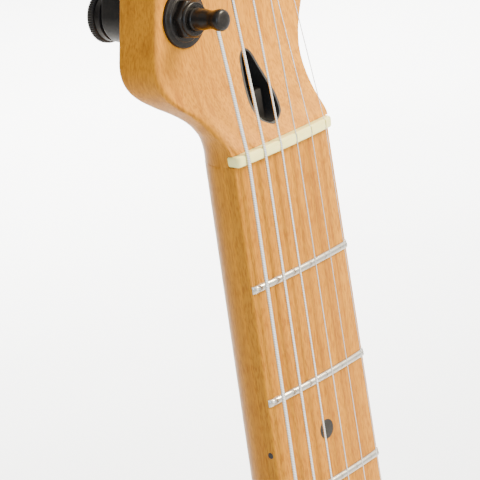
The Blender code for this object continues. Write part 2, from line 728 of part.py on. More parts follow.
def build_knob(name, x, z):
    """Knob and its shaft, turned about the shaft's own axis; the pot body stays still."""
    frame = place(x, 0, z, 0, math.pi / 2)
    face = -GUARD_FACE
    turned(f"{name}_knob", [
        (0.0, face + 17.6), (7.6, face + 17.6), (8.6, face + 16.4), (9.4, face + 6.0), (12.5, face + 2.6),
        (12.5, face + 0.8), (9.0, face + 0.8), (9.0, face + 9.5), (3.0, face + 9.5), (3.0, face - 7.0),
        (0.0, face - 7.0)], "black_plastic", frame, 14)
    floor = face - GUARD_THICK
    turned(f"{name}_pot", [
        (0.0, floor - 8.0), (3.4, floor - 8.0), (3.4, face + 8.0), (4.6, face + 8.0), (4.6, floor - 1.0),
        (12.0, floor - 1.0), (12.0, floor - 11.0), (0.0, floor - 11.0)], "dark_steel", frame, 14)


def build_selector():
    """A blade lever that rocks in the guard's slot about an axis across the guitar."""
    x, z = SWITCH_SPOT
    pivot_y = BODY_FRONT + 12.0
    frame = place(x, pivot_y, z, 0, math.pi / 2)
    lever = box("selector_lever", (-0.8, -4.0, -3.0), (0.8, 4.0, 24.0), "black_plastic", frame)
    tip = turned("lever_tip", [(0.0, 30.0), (2.6, 29.4), (3.8, 27.5), (3.6, 24.0), (2.4, 19.0), (0.0, 19.0)],
                 None, frame, 12)
    boolean(lever, tip, "UNION")
    housing = box("selector_switch", (x - 6, BODY_FRONT + 1.0, z - 21), (x + 6, BODY_FRONT + 25, z + 21),
                  "dark_steel")
    boolean(housing, box("switch_room", (x - 1.8, 0, z - 13.5), (x + 1.8, BODY_FRONT + 18, z + 13.5)))
    return lever


BRIDGE_TOP = BODY_FRONT - GAP - 2.0


def build_bridge():
    plate = box("bridge_plate", (-40, BRIDGE_TOP, WALL_Z - 3), (40, BRIDGE_TOP + 2.0, -634.0), "black_metal")
    boolean(plate, box("bridge_wall", (-40, -2.5, WALL_Z - 3), (40, BRIDGE_TOP + 1.0, WALL_Z - 0.6)), "UNION")
    for index in range(6):
        x = string_x(index, STRING_SPREAD_BRIDGE)
        boolean(plate, rod(f"anchor_{index}", 1.3, (x, 1.2, WALL_Z - 8), (x, 1.2, WALL_Z + 5), segments=8))
    for number in range(3):
        low, high = string_at_saddle(2 * number), string_at_saddle(2 * number + 1)
        x = (low.x + high.x) / 2
        top = max(low.y + STRING_GAUGES[2 * number] / 2, high.y + STRING_GAUGES[2 * number + 1] / 2) + GAP
        middle = top + 3.6
        saddle = rod(f"bridge_saddle_{number + 1}", 3.6, (x - 9.6, middle, -SCALE_LENGTH),
                     (x + 9.6, middle, -SCALE_LENGTH), "black_metal", segments=16)
        for side in (-1, 1):
            leg = rod(f"saddle_leg_{number}_{side}", 1.4, (x + side * 8.0, middle - 2.6, -SCALE_LENGTH),
                      (x + side * 8.0, BRIDGE_TOP - 0.2, -SCALE_LENGTH), segments=8)
            boolean(saddle, leg, "UNION")
        screw = rod(f"saddle_screw_{number}", 1.3, (x, middle, -SCALE_LENGTH), (x, middle, WALL_Z - 5.0),
                    segments=8)
        boolean(saddle, screw, "UNION")
        boolean(plate, rod(f"screw_pass_{number}", 1.8, (x, middle, WALL_Z - 8), (x, middle, WALL_Z + 5),
                           segments=8))
    return plate


def build_neck_plate():
    plate = box("neck_plate", (-25.5, BODY_BACK + GAP, -471), (25.5, BODY_BACK + GAP + 2.0, -415),
                "black_metal")
    for x, z in plate_screw_places():
        screw = turned(f"plate_screw_{x:.0f}_{z:.0f}", [
            (0.0, 40.0), (2.0, 37.0), (2.0, -1.0), (4.0, -1.0), (4.0, -3.0), (0.0, -3.9)],
            None, place(x, BODY_BACK, z, 0, math.pi / 2), 8)
        boolean(plate, screw, "UNION")
    return plate


def build_all():
    build_neck()
    build_fingerboard()
    build_frets()
    build_nut()
    build_truss_rod()
    build_string_tree()
    for index in range(6):
        build_string(index)
        build_tuner(index)
    build_body()
    for name, (spot, out) in zip(("strap_button_horn", "strap_button_tail"), strap_places()):
        build_strap_button(name, spot, out)
    build_output_jack()
    build_pickguard()
    for name, z in PICKUPS:
        build_pickup(name, z)
    for name, (x, z) in KNOBS:
        build_knob(name, x, z)
    build_selector()
    build_bridge()
    build_neck_plate()


build_all()
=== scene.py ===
"""Looks of the electric guitar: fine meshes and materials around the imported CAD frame.

Shapes are made in millimetres in the row frame: +Z up the neck, -Y the front, +X the treble
side, the origin on the fingerboard's surface at the nut. Each mesh is scaled to metres.
"""
import math

import bmesh
import bpy
from mathutils import Matrix, Vector


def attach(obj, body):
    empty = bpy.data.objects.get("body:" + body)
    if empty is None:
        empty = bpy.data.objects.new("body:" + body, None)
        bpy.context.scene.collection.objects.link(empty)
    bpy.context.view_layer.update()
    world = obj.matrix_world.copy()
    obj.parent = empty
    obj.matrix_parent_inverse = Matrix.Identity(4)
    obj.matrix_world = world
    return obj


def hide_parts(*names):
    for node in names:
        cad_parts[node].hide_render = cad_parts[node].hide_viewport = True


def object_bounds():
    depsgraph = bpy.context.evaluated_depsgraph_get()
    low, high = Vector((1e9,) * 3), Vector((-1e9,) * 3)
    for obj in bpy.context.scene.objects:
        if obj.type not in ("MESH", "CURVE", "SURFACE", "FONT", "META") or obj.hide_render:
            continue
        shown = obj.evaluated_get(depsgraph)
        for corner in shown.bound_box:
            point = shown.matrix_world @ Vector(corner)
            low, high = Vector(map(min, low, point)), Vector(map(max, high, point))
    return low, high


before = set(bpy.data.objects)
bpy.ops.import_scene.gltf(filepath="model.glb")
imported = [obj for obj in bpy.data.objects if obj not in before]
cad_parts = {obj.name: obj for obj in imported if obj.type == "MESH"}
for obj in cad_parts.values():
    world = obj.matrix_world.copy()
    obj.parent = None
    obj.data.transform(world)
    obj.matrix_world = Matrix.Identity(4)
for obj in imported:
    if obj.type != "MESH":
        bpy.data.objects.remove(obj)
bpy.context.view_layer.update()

MM = 0.001
SCALE_LENGTH = 647.7
FRETS = 22
BOARD_RADIUS = 241.0
NUT_WIDTH = 42.5
WIDTH_AT_12 = 52.0
BOARD_THICK = 4.8
BOARD_END = -472.0
NUT_THICK = 3.2
NUT_RISE = 2.0
FRET_RISE = 1.1
FRET_WIDTH = 2.4
STRING_GAUGES = (1.17, 0.91, 0.66, 0.43, 0.33, 0.25)
STRING_SPREAD_NUT = 35.0
STRING_SPREAD_BRIDGE = 52.5
WALL_Z = -672.0
TREE_Z = 72.0

NECK_BACK_NUT = 20.8
NECK_BACK_12 = 22.4
HEEL_BACK = 25.4
HEEL_START = -405.0
HEEL_RAMP = 40.0
HEAD_FACE = 11.3
HEAD_BACK = 25.7
LEDGE_Z = NUT_THICK + 0.1
NUT_SEAT = 3.0
SCOOP_END = 40.0
HEAD_TIP = 187.0

POST_LINE_ANGLE = math.radians(14.5)
POST_PITCH = 25.2
FIRST_POST = (-21.3, 42.8)
WORM_OFFSET = 12.4
POST_TIP = -4.2
WAIST_RADIUS = 2.55
WAIST_Y = 0.5
HOUSING_BACK = HEAD_BACK + 10.7

BODY_FRONT = 9.5
BODY_BACK = 54.0
GUARD_FACE = 6.9
EDGE_RADIUS = 9.0


# ---- mesh helpers -------------------------------------------------------------------
def add_object(name, bm, look, matrix=None, sharp=35.0):
    """An object from a bmesh in millimetres, shaded smooth except across sharp angles."""
    bmesh.ops.recalc_face_normals(bm, faces=bm.faces)
    bm.transform(Matrix.Scale(MM, 4))
    mesh = bpy.data.meshes.new(name)
    bm.to_mesh(mesh)
    bm.free()
    mesh.shade_smooth()
    mesh.set_sharp_from_angle(angle=math.radians(sharp))
    made = bpy.data.objects.new(name, mesh)
    if matrix is not None:
        made.matrix_world = matrix
    bpy.context.scene.collection.objects.link(made)
    if look is not None:
        mesh.materials.append(look)
    return made


def settle(made, body, slot, *nodes):
    """Attach a finished piece to the body it moves with and hide the CAD nodes it stands for. The slot is not
    used.
    """
    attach(made, body)
    if nodes:
        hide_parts(*nodes)
    return made


def place(x, y, z, spin=0.0, pitch=0.0):
    shift = Matrix.Translation(Vector((x, y, z)) * MM)
    return shift @ Matrix.Rotation(spin, 4, "Y") @ Matrix.Rotation(pitch, 4, "X")


def skin(bm, rings, caps=True):
    """Join rings of points, given in mm, with quads."""
    rows = [[bm.verts.new(p) for p in ring] for ring in rings]
    count = len(rows[0])
    for low, high in zip(rows, rows[1:]):
        for i in range(count):
            j = (i + 1) % count
            bm.faces.new((low[i], low[j], high[j], high[i]))
    if caps:
        bm.faces.new(rows[0])
        bm.faces.new(rows[-1])
    return rows


def turn_profile(bm, profile, steps, matrix=Matrix.Identity(4), ripple=None):
    """Turn (radius, height) points about Z. ripple(angle, radius) may roughen the radius."""
    rings = []
    ends = []
    for radius, height in profile:
        if radius < 1e-6:
            ends.append((len(rings), bm.verts.new(matrix @ Vector((0, 0, height)))))
            continue
        ring = []
        for i in range(steps):
            a = math.tau * i / steps
            r = radius + (ripple(a, radius) if ripple else 0.0)
            ring.append(bm.verts.new(matrix @ Vector((r * math.cos(a), r * math.sin(a), height))))
        rings.append(ring)
    for low, high in zip(rings, rings[1:]):
        for i in range(steps):
            j = (i + 1) % steps
            bm.faces.new((low[i], low[j], high[j], high[i]))
    for at, tip in ends:
        ring = rings[0] if at == 0 else rings[-1]
        for i in range(steps):
            bm.faces.new((ring[i], ring[(i + 1) % steps], tip))
    if profile[0] == profile[-1]:
        bmesh.ops.remove_doubles(bm, verts=rings[0] + rings[-1], dist=1e-5)


def rounded(profile, radius, steps=3):
    """Round the inner corners of an open profile of (radius, height) points."""
    result = [profile[0]]
    for before, at, after in zip(profile, profile[1:], profile[2:]):
        a, b, c = Vector(before), Vector(at), Vector(after)
        reach = min(radius, (a - b).length * 0.45, (c - b).length * 0.45)
        start = b + (a - b).normalized() * reach
        end = b + (c - b).normalized() * reach
        for step in range(steps + 1):
            t = step / steps
            point = start * (1 - t) ** 2 + b * 2 * t * (1 - t) + end * t ** 2
            result.append((point.x, point.y))
    result.append(profile[-1])
    return result


def turned(name, profile, look, matrix=None, steps=48, ripple=None, sharp=35.0):
    bm = bmesh.new()
    turn_profile(bm, profile, steps, ripple=ripple)
    return add_object(name, bm, look, matrix, sharp)


def bevelled_box(bm, low, high, radius, steps=3, matrix=Matrix.Identity(4)):
    made = bmesh.ops.create_cube(bm, size=1.0)["verts"]
    bmesh.ops.scale(bm, vec=[b - a for a, b in zip(low, high)], verts=made)
    bmesh.ops.translate(bm, vec=[(a + b) / 2 for a, b in zip(low, high)], verts=made)
    edges = list({e for v in made for e in v.link_edges})
    done = bmesh.ops.bevel(bm, geom=edges, offset=radius, segments=steps, profile=0.5, affect="EDGES")
    verts = list({v for f in done["faces"] for v in f.verts} | {v for v in made if v.is_valid})
    bmesh.ops.transform(bm, matrix=matrix, verts=verts)


def tube(bm, points, radius, sides=10):
    """A round tube along points in mm, with flat ends."""
    rings = []
    up = Vector((0, 1, 0))
    for i, point in enumerate(points):
        along = (points[min(i + 1, len(points) - 1)] - points[max(i - 1, 0)]).normalized()
        side = along.cross(up).normalized()
        top = side.cross(along).normalized()
        turns = [math.tau * k / sides for k in range(sides)]
        rings.append([point + (side * math.cos(a) + top * math.sin(a)) * radius for a in turns])
    skin(bm, rings)


def cut(target, name, bm, matrix=None):
    """Cut a shape out of a piece, apply it and drop the cutter."""
    cutter = add_object(name, bm, None, matrix)
    step = target.modifiers.new(name, "BOOLEAN")
    step.operation = "DIFFERENCE"
    step.object = cutter
    step.solver = "EXACT"
    bpy.context.view_layer.update()
    graph = bpy.context.evaluated_depsgraph_get()
    done = bpy.data.meshes.new_from_object(target.evaluated_get(graph))
    target.modifiers.clear()
    look = target.data.materials[0] if target.data.materials else None
    target.data = done
    if look is not None and not done.materials:
        done.materials.append(look)
    bpy.data.objects.remove(cutter)
    done.shade_smooth()
    done.set_sharp_from_angle(angle=math.radians(35))


def smooth_closed(points, per_span):
    result = []
    count = len(points)
    for i in range(count):
        p0, p1, p2, p3 = (Vector(points[(i + k) % count]) for k in (-1, 0, 1, 2))
        for step in range(per_span):
            t = step / per_span
            point = 0.5 * ((2 * p1) + (p2 - p0) * t + (2 * p0 - 5 * p1 + 4 * p2 - p3) * t * t
                           + (3 * p1 - p0 - 3 * p2 + p3) * t ** 3)
            result.append((point.x, point.y))
    return result


def ease(t):
    t = min(max(t, 0.0), 1.0)
    return t * t * (3 - 2 * t)


def follow(table, z):
    """Smooth value at z from a table of (z, value) rows in rising z."""
    if z <= table[0][0]:
        return table[0][1]
    for i in range(len(table) - 1):
        (z0, v0), (z1, v1) = table[i], table[i + 1]
        if z <= z1:
            before = table[max(i - 1, 0)]
            after = table[min(i + 2, len(table) - 1)]
            slope0 = (v1 - before[1]) / (z1 - before[0])
            slope1 = (after[1] - v0) / (after[0] - z0)
            t, span = (z - z0) / (z1 - z0), z1 - z0
            return ((2 * t ** 3 - 3 * t ** 2 + 1) * v0 + (t ** 3 - 2 * t ** 2 + t) * span * slope0
                    + (3 * t ** 2 - 2 * t ** 3) * v1 + (t ** 3 - t ** 2) * span * slope1)
    return table[-1][1]


# ---- rules shared by several pieces ----------------------------------------------------
def fret_z(number):
    return SCALE_LENGTH / 2 ** (number / 12) - SCALE_LENGTH


def half_width(z):
    slope = (WIDTH_AT_12 - NUT_WIDTH) / 2 / -fret_z(12)
    return NUT_WIDTH / 2 - slope * min(z, 0.0)


def crown(x):
    return BOARD_RADIUS - math.sqrt(BOARD_RADIUS ** 2 - x * x)


def string_x(index, spread):
    return -spread / 2 + index * spread / 5


def string_at_nut(index):
    x = string_x(index, STRING_SPREAD_NUT)
    return Vector((x, crown(x) - 1.55 - STRING_GAUGES[index] / 2, NUT_THICK / 2))


def string_at_saddle(index):
    x = string_x(index, STRING_SPREAD_BRIDGE)
    return Vector((x, crown(x) - 4.65 - STRING_GAUGES[index] / 2, -SCALE_LENGTH))


def post_place(index):
    x0, z0 = FIRST_POST
    run = index * POST_PITCH
    return x0 + run * math.sin(POST_LINE_ANGLE), z0 + run * math.cos(POST_LINE_ANGLE)


def string_at_tree(index):
    nut = string_at_nut(index)
    x_post, z_post = post_place(index)
    share = (TREE_Z - nut.z) / (z_post - nut.z)
    return Vector((nut.x + (x_post + 3.0 - nut.x) * share + 1.0, 7.6, TREE_Z))


# ---- materials --------------------------------------------------------------------------
class Look:
    """A Principled material and short ways to add nodes to it."""

    def __init__(self, name, colour=(0.5, 0.5, 0.5), roughness=0.5, metallic=0.0, coat=0.0, coat_rough=0.1):
        self.made = bpy.data.materials.new(name)
        self.made.use_nodes = True
        self.tree = self.made.node_tree
        self.shader = self.tree.nodes["Principled BSDF"]
        self.shader.inputs["Base Color"].default_value = (*colour, 1)
        self.shader.inputs["Roughness"].default_value = roughness
        self.shader.inputs["Metallic"].default_value = metallic
        self.shader.inputs["Coat Weight"].default_value = coat
        self.shader.inputs["Coat Roughness"].default_value = coat_rough
        self.made.diffuse_color = (*colour, 1)

    def node(self, kind, **values):
        made = self.tree.nodes.new(kind)
        for key, value in values.items():
            setattr(made, key, value)
        return made

    def wire(self, source, target):
        self.tree.links.new(source, target)

    def place(self, scale, turn=(0, 0, 0), shift=(0, 0, 0)):
        """Object coordinates, stretched. Returns the vector socket."""
        where = self.node("ShaderNodeTexCoord")
        mapping = self.node("ShaderNodeMapping")
        mapping.inputs["Scale"].default_value = scale
        mapping.inputs["Rotation"].default_value = turn
        mapping.inputs["Location"].default_value = shift
        self.wire(where.outputs["Object"], mapping.inputs["Vector"])
        return mapping.outputs["Vector"]

    def noise(self, vector, scale=1.0, detail=4.0, rough=0.55, distort=0.0):
        made = self.node("ShaderNodeTexNoise")
        made.inputs["Scale"].default_value = scale
        made.inputs["Detail"].default_value = detail
        made.inputs["Roughness"].default_value = rough
        made.inputs["Distortion"].default_value = distort
        self.wire(vector, made.inputs["Vector"])
        return made.outputs["Fac"]

    def ramp(self, value, stops):
        """Colour ramp from a value; stops are (position, colour) pairs."""
        made = self.node("ShaderNodeValToRGB")
        line = made.color_ramp
        while len(line.elements) < len(stops):
            line.elements.new(0.5)
        for element, (position, colour) in zip(line.elements, stops):
            element.position = position
            element.color = (*colour, 1) if len(colour) == 3 else colour
        self.wire(value, made.inputs["Fac"])
        return made.outputs["Color"]

    def mix(self, factor, a, b, kind="MIX"):
        made = self.node("ShaderNodeMix", data_type="RGBA", blend_type=kind)
        for socket, value in zip((made.inputs[0], made.inputs[6], made.inputs[7]), (factor, a, b)):
            if isinstance(value, bpy.types.NodeSocket):
                self.wire(value, socket)
            elif isinstance(value, (int, float)):
                socket.default_value = value
            else:
                socket.default_value = (*value, 1)
        return made.outputs[2]

    def span(self, value, low, high):
        """Stretch a 0 to 1 value to a range."""
        made = self.node("ShaderNodeMapRange")
        made.inputs["To Min"].default_value = low
        made.inputs["To Max"].default_value = high
        self.wire(value, made.inputs["Value"])
        return made.outputs["Result"]

    def colour(self, socket):
        self.wire(socket, self.shader.inputs["Base Color"])

    def rough(self, socket):
        self.wire(socket, self.shader.inputs["Roughness"])

    def bump(self, height, strength=0.1, distance=0.0002):
        made = self.node("ShaderNodeBump")
        made.inputs["Strength"].default_value = strength
        made.inputs["Distance"].default_value = distance
        self.wire(height, made.inputs["Height"])
        self.wire(made.outputs["Normal"], self.shader.inputs["Normal"])


def grey(v):
    return (v, v, v)


def maple(name, light, dark, streak, contrast):
    """Lacquered maple: slow colour drift, long fine grain, short flecks and a little figure."""
    look = Look(name, light, 0.45, 0.0, 0.04, 0.3)
    look.shader.inputs["Specular IOR Level"].default_value = 0.1
    drift = look.noise(look.place((22, 22, 2.2)), 1.0, 3.0, 0.5, 0.4)
    base = look.mix(look.ramp(drift, [(0.30, grey(0)), (0.72, grey(1))]), light, dark)
    grain = look.noise(look.place((520, 520, 9)), 1.0, 5.0, 0.62, 0.5)
    base = look.mix(look.ramp(grain, [(0.46, grey(0)), (0.72, grey(contrast))]), base, streak)
    flecks = look.noise(look.place((2100, 2100, 430), (0.05, 0.06, 0)), 1.0, 2.0, 0.5)
    base = look.mix(look.ramp(flecks, [(0.44, grey(0)), (0.64, grey(contrast * 0.8))]), base, streak)
    figure = look.noise(look.place((60, 60, 120), (0.1, 0.25, 0)), 1.0, 2.0, 0.5, 0.6)
    base = look.mix(look.ramp(figure, [(0.40, grey(0)), (0.68, grey(0.18))]), base, light)
    look.colour(base)
    look.rough(look.span(grain, 0.34, 0.50))
    look.bump(flecks, 0.10, 0.00008)
    return look.made


def ash(name):
    """Open-grained ash under gloss amber lacquer."""
    look = Look(name, (0.50, 0.22, 0.03), 0.32, 0.0, 0.5, 0.06)
    look.shader.inputs["Specular IOR Level"].default_value = 0.2
    warp = look.place((7.0, 5.0, 1.15), (0, 0.05, 0))
    figure = look.noise(warp, 1.0, 2.0, 0.45, 0.9)
    rings = look.node("ShaderNodeTexWave", wave_type="BANDS", bands_direction="X", wave_profile="SAW")
    rings.inputs["Scale"].default_value = 9.0
    rings.inputs["Distortion"].default_value = 0.0
    swing = look.node("ShaderNodeCombineXYZ")
    look.wire(figure, swing.inputs["X"])
    look.wire(swing.outputs["Vector"], rings.inputs["Vector"])
    bands = look.ramp(rings.outputs["Fac"], [(0.0, (0.60, 0.27, 0.030)), (0.55, (0.49, 0.20, 0.018)),
                                             (0.86, (0.26, 0.088, 0.006)), (1.0, (0.56, 0.25, 0.026))])
    pores = look.noise(look.place((700, 700, 26)), 1.0, 3.0, 0.6)
    dark = look.ramp(pores, [(0.56, grey(0)), (0.70, grey(0.75))])
    late = look.ramp(rings.outputs["Fac"], [(0.45, grey(0.25)), (0.85, grey(1.0))])
    strength = look.mix(1.0, dark, late, "MULTIPLY")
    base = look.mix(strength, bands, (0.10, 0.030, 0.004))
    drift = look.noise(look.place((6, 6, 3)), 1.0, 2.0)
    base = look.mix(look.ramp(drift, [(0.3, grey(0.0)), (0.75, grey(0.30))]), base, (0.34, 0.125, 0.009))
    look.colour(base)
    look.rough(look.span(pores, 0.22, 0.38))
    look.bump(pores, 0.05, 0.0001)
    return look.made


def black_plating(name, rough=0.30):
    look = Look(name, (0.012, 0.011, 0.011), rough, 0.6, 0.12, 0.2)
    look.shader.inputs["Specular IOR Level"].default_value = 0.3
    cloud = look.noise(look.place((260, 260, 260)), 1.0, 4.0, 0.6)
    look.colour(look.ramp(cloud, [(0.3, (0.007, 0.006, 0.006)), (0.75, (0.020, 0.017, 0.015))]))
    fine = look.noise(look.place((1800, 1800, 1800)), 1.0, 2.0)
    look.rough(look.span(fine, rough - 0.06, rough + 0.14))
    look.bump(fine, 0.06, 0.00003)
    return look.made


def steel(name, colour, rough, stretch):
    look = Look(name, colour, rough, 1.0)
    lines = look.noise(look.place(stretch), 1.0, 4.0, 0.6)
    darker = tuple(c * 0.72 for c in colour)
    look.colour(look.mix(look.ramp(lines, [(0.3, grey(0)), (0.8, grey(1))]), colour, darker))
    look.rough(look.span(lines, rough - 0.07, rough + 0.14))
    look.bump(lines, 0.05, 0.00003)
    return look.made


def wound_steel(name):
    """Round-wound string: fine turns across the string's length, which runs near Z."""
    look = Look(name, (0.80, 0.78, 0.74), 0.3, 1.0)
    turns = look.node("ShaderNodeTexWave", wave_type="BANDS", bands_direction="Z", wave_profile="SIN")
    turns.inputs["Scale"].default_value = 1.0
    look.wire(look.place((1, 1, 620)), turns.inputs["Vector"])
    # The colour is darker in the grooves between turns than on the crests: painted shade.
    look.colour(look.ramp(turns.outputs["Fac"], [(0.0, (0.42, 0.40, 0.37)), (0.6, (0.86, 0.84, 0.80))]))
    look.bump(turns.outputs["Fac"], 0.5, 0.0001)
    return look.made


def bone(name):
    look = Look(name, (0.80, 0.72, 0.34), 0.36, 0.0, 0.1, 0.2)
    look.shader.inputs["Specular IOR Level"].default_value = 0.35
    look.shader.inputs["Subsurface Weight"].default_value = 0.12
    look.shader.inputs["Subsurface Scale"].default_value = 0.002
    cloud = look.noise(look.place((180, 500, 500)), 1.0, 4.0)
    look.colour(look.ramp(cloud, [(0.3, (0.80, 0.73, 0.26)), (0.7, (0.88, 0.82, 0.34))]))
    pores = look.noise(look.place((1500, 2600, 2600)), 1.0, 2.0)
    look.rough(look.span(pores, 0.28, 0.46))
    look.bump(pores, 0.06, 0.00004)
    return look.made


def plastic(name, colour, rough, coat=0.15):
    look = Look(name, colour, rough, 0.0, coat, 0.12)
    look.shader.inputs["Specular IOR Level"].default_value = 0.3
    cloud = look.noise(look.place((90, 90, 90)), 1.0, 3.0)
    lifted = tuple(c * 1.5 + 0.002 for c in colour)
    look.colour(look.mix(look.ramp(cloud, [(0.35, grey(0)), (0.75, grey(1))]), colour, lifted))
    fine = look.noise(look.place((1400, 1400, 1400)), 1.0, 2.0)
    look.rough(look.span(fine, rough - 0.05, rough + 0.10))
    look.bump(fine, 0.04, 0.00003)
    return look.made


def guard_laminate(name):
    """Black, white, black sheet: the white layer shows on the bevelled edge."""
    look = Look(name, (0.012, 0.012, 0.012), 0.26, 0.0, 0.15, 0.1)
    look.shader.inputs["Specular IOR Level"].default_value = 0.3
    where = look.node("ShaderNodeTexCoord")
    split = look.node("ShaderNodeSeparateXYZ")
    look.wire(where.outputs["Object"], split.inputs["Vector"])
    depth = look.node("ShaderNodeMapRange")
    depth.inputs["From Min"].default_value = GUARD_FACE * MM
    depth.inputs["From Max"].default_value = (GUARD_FACE + 2.3) * MM
    look.wire(split.outputs["Y"], depth.inputs["Value"])
    layers = look.ramp(depth.outputs["Result"], [(0.0, (0.010, 0.010, 0.011)), (0.34, (0.80, 0.79, 0.75)),
                                                 (0.62, (0.010, 0.010, 0.011))])
    layers.node.color_ramp.interpolation = "CONSTANT"
    fine = look.noise(look.place((300, 300, 300)), 1.0, 3.0)
    look.colour(look.mix(look.ramp(fine, [(0.5, grey(0)), (0.9, grey(0.1))]), layers, (0.04, 0.04, 0.04)))
    look.rough(look.span(fine, 0.16, 0.30))
    return look.made


LOOKS = {
    "maple": maple("maple", (0.60, 0.250, 0.016), (0.49, 0.190, 0.010), (0.27, 0.090, 0.006), 0.72),
    # The fingerboard's maple is a darker copy of the neck's maple: the darkening is painted shade.
    "board": maple("board_maple", (0.53, 0.220, 0.013), (0.42, 0.165, 0.008), (0.22, 0.070, 0.005), 0.75),
    "ash": ash("ash_lacquer"),
    "black": black_plating("black_plating"),
    "black_matte": black_plating("black_plating_matte", 0.42),
    "dark": steel("dark_steel", (0.16, 0.16, 0.17), 0.36, (400, 400, 400)),
    "fret": steel("nickel_silver", (0.60, 0.57, 0.51), 0.20, (40, 1500, 1500)),
    "pole": steel("pole_steel", (0.62, 0.62, 0.62), 0.26, (700, 700, 700)),
    "wound": wound_steel("wound_string"),
    "plain": steel("plain_string", (0.82, 0.81, 0.78), 0.22, (900, 900, 60)),
    "bone": bone("bone"),
    "plastic": plastic("black_plastic", (0.012, 0.012, 0.013), 0.34),
    "liner": plastic("liner_plastic", (0.013, 0.012, 0.012), 0.40, 0.2),
    "dot": plastic("dot_plastic", (0.010, 0.009, 0.008), 0.5, 0.0),
    "guard": guard_laminate("guard_laminate"),
}


# ---- neck --------------------------------------------------------------------------------
BASS_EDGE = [(0.0, NUT_WIDTH / 2), (LEDGE_Z, 21.3), (7.0, 21.9), (10.0, 23.2), (13.0, 24.9), (16.2, 27.6),
             (19.2, 30.9), (22.9, 34.2), (26.5, 35.7), (30.5, 35.8), (36.0, 34.4), (60.0, 28.2),
             (120.0, 12.7), (160.0, 2.4), (174.0, -1.6), (183.0, -6.0), (HEAD_TIP, -12.5)]
TREBLE_EDGE = [(0.0, NUT_WIDTH / 2), (LEDGE_Z, 21.7), (7.0, 22.1), (12.0, 22.1), (16.0, 22.2), (20.0, 22.7),
               (24.0, 23.8), (28.0, 25.6), (32.0, 27.9), (36.0, 30.3), (41.0, 33.0), (48.0, 35.8),
               (56.0, 37.2), (66.0, 37.0), (90.0, 33.6), (130.0, 29.6), (160.0, 27.4), (174.0, 25.6),
               (183.0, 21.4), (HEAD_TIP, 15.8)]
POCKET = [(7.7, 2.6), (9.6, 4.9), (13.6, 5.7), (18.0, 5.0), (23.0, 3.7), (27.0, 2.4)]


def front_depth(x, z):
    if z < -0.06:
        return BOARD_THICK
    if z < LEDGE_Z:
        return NUT_SEAT
    run = min((z - LEDGE_Z) / (SCOOP_END - LEDGE_Z), 1.0)
    scoop = 0.6 + (HEAD_FACE - 0.6) * (1 - (1 - run) ** 1.9)
    if z > 14:
        return scoop
    ledge = crown(x)
    blend = 0.8
    gap = scoop - ledge
    if abs(gap) < blend:
        return max(scoop, ledge) + (blend - abs(gap)) ** 2 / (4 * blend)
    return max(scoop, ledge)


def back_depth(z):
    if z >= 0:
        return NECK_BACK_NUT + (HEAD_BACK - NECK_BACK_NUT) * ease(z / 34.0)
    grown = NECK_BACK_NUT + (NECK_BACK_12 - NECK_BACK_NUT) * z / fret_z(12)
    return grown + (HEEL_BACK - grown) * ease((HEEL_START + HEEL_RAMP - z) / HEEL_RAMP)


def squareness(z):
    if z >= 0:
        return 2.2 + 40.0 * ease(z / 36.0) ** 4.2
    return 2.25 + 9.0 * ease((HEEL_START + HEEL_RAMP - z) / HEEL_RAMP)


def side_start(depth):
    """Where the rounded side begins, without a step between the board's stretch and the head."""
    least, blend = BOARD_THICK + 0.7, 1.5
    if depth > least + blend:
        return depth
    return least + max(depth - least + blend, 0.0) ** 2 / (4 * blend)


def neck_ring(z, front_points=30, back_points=56, corner_steps=6):
    bass = follow(BASS_EDGE, z) if z > 0 else half_width(z)
    treble = follow(TREBLE_EDGE, z) if z > 0 else half_width(z)
    radius = 0.1 + 1.5 * ease((z - LEDGE_Z) / 8.0) if z > LEDGE_Z else 0.1
    radius = min(radius, (bass + treble) / 4)
    ring = []
    for i in range(front_points):
        x = -bass + radius + (bass + treble - 2 * radius) * i / (front_points - 1)
        ring.append((x, front_depth(x, z), z))
    edge_y = front_depth(treble - radius, z)
    for i in range(1, corner_steps + 1):
        a = math.pi / 2 * i / corner_steps
        ring.append((treble - radius + radius * math.sin(a), edge_y + radius * (1 - math.cos(a)), z))
    start = side_start(edge_y + radius + 0.6)
    power = 2 / squareness(z)
    for i in range(back_points + 1):
        turn = i / back_points
        a = math.pi * (turn - 0.28 * math.sin(4 * math.pi * turn) / (4 * math.pi) * min(squareness(z) - 2, 3))
        side = treble if i < back_points / 2 else -bass
        x = side * abs(math.cos(a)) ** power
        ring.append((x, start + (back_depth(z) - start) * max(math.sin(a), 0.0) ** power, z))
    edge_y = front_depth(-bass + radius, z)
    for i in range(corner_steps):
        a = math.pi / 2 * (1 - i / corner_steps)
        ring.append((-bass + radius - radius * math.sin(a), edge_y + radius * (1 - math.cos(a)), z))
    return ring


def spread(start, end, count):
    return [start + (end - start) * i / count for i in range(count)]


def neck_stations():
    heel = spread(BOARD_END, HEEL_START - 2, 4) + spread(HEEL_START - 2, HEEL_START + HEEL_RAMP + 2, 22)
    shaft = spread(HEEL_START + HEEL_RAMP + 2, -20, 10) + [-20.0, -8.0, -1.0, -0.08, -0.04, LEDGE_Z - 0.02]
    head = spread(LEDGE_Z, 46.0, 64) + spread(46.0, 168.0, 30) + spread(168.0, 184.0, 12)
    return heel + shaft + head + [184.0, 185.0, 185.9, 186.6, HEAD_TIP]


def pocket_outline(grow=0.0, per_span=5):
    """The truss rod recess: a teardrop with its round end towards the nut."""
    half = [(width + grow, z) for z, width in POCKET]
    points = half + [(-x, z) for x, z in reversed(half)]
    bottom, top = POCKET[0][0], POCKET[-1][0]
    points.insert(0, (0.0, bottom - 0.9 - grow))
    points.insert(len(half) + 1, (0.0, top + 1.6 + grow))
    return smooth_closed(points, per_span)


def prism(points, y_front, y_back):
    bm = bmesh.new()
    skin(bm, [[(x, y, z) for x, z in points] for y in (y_front, y_back)])
    return bm


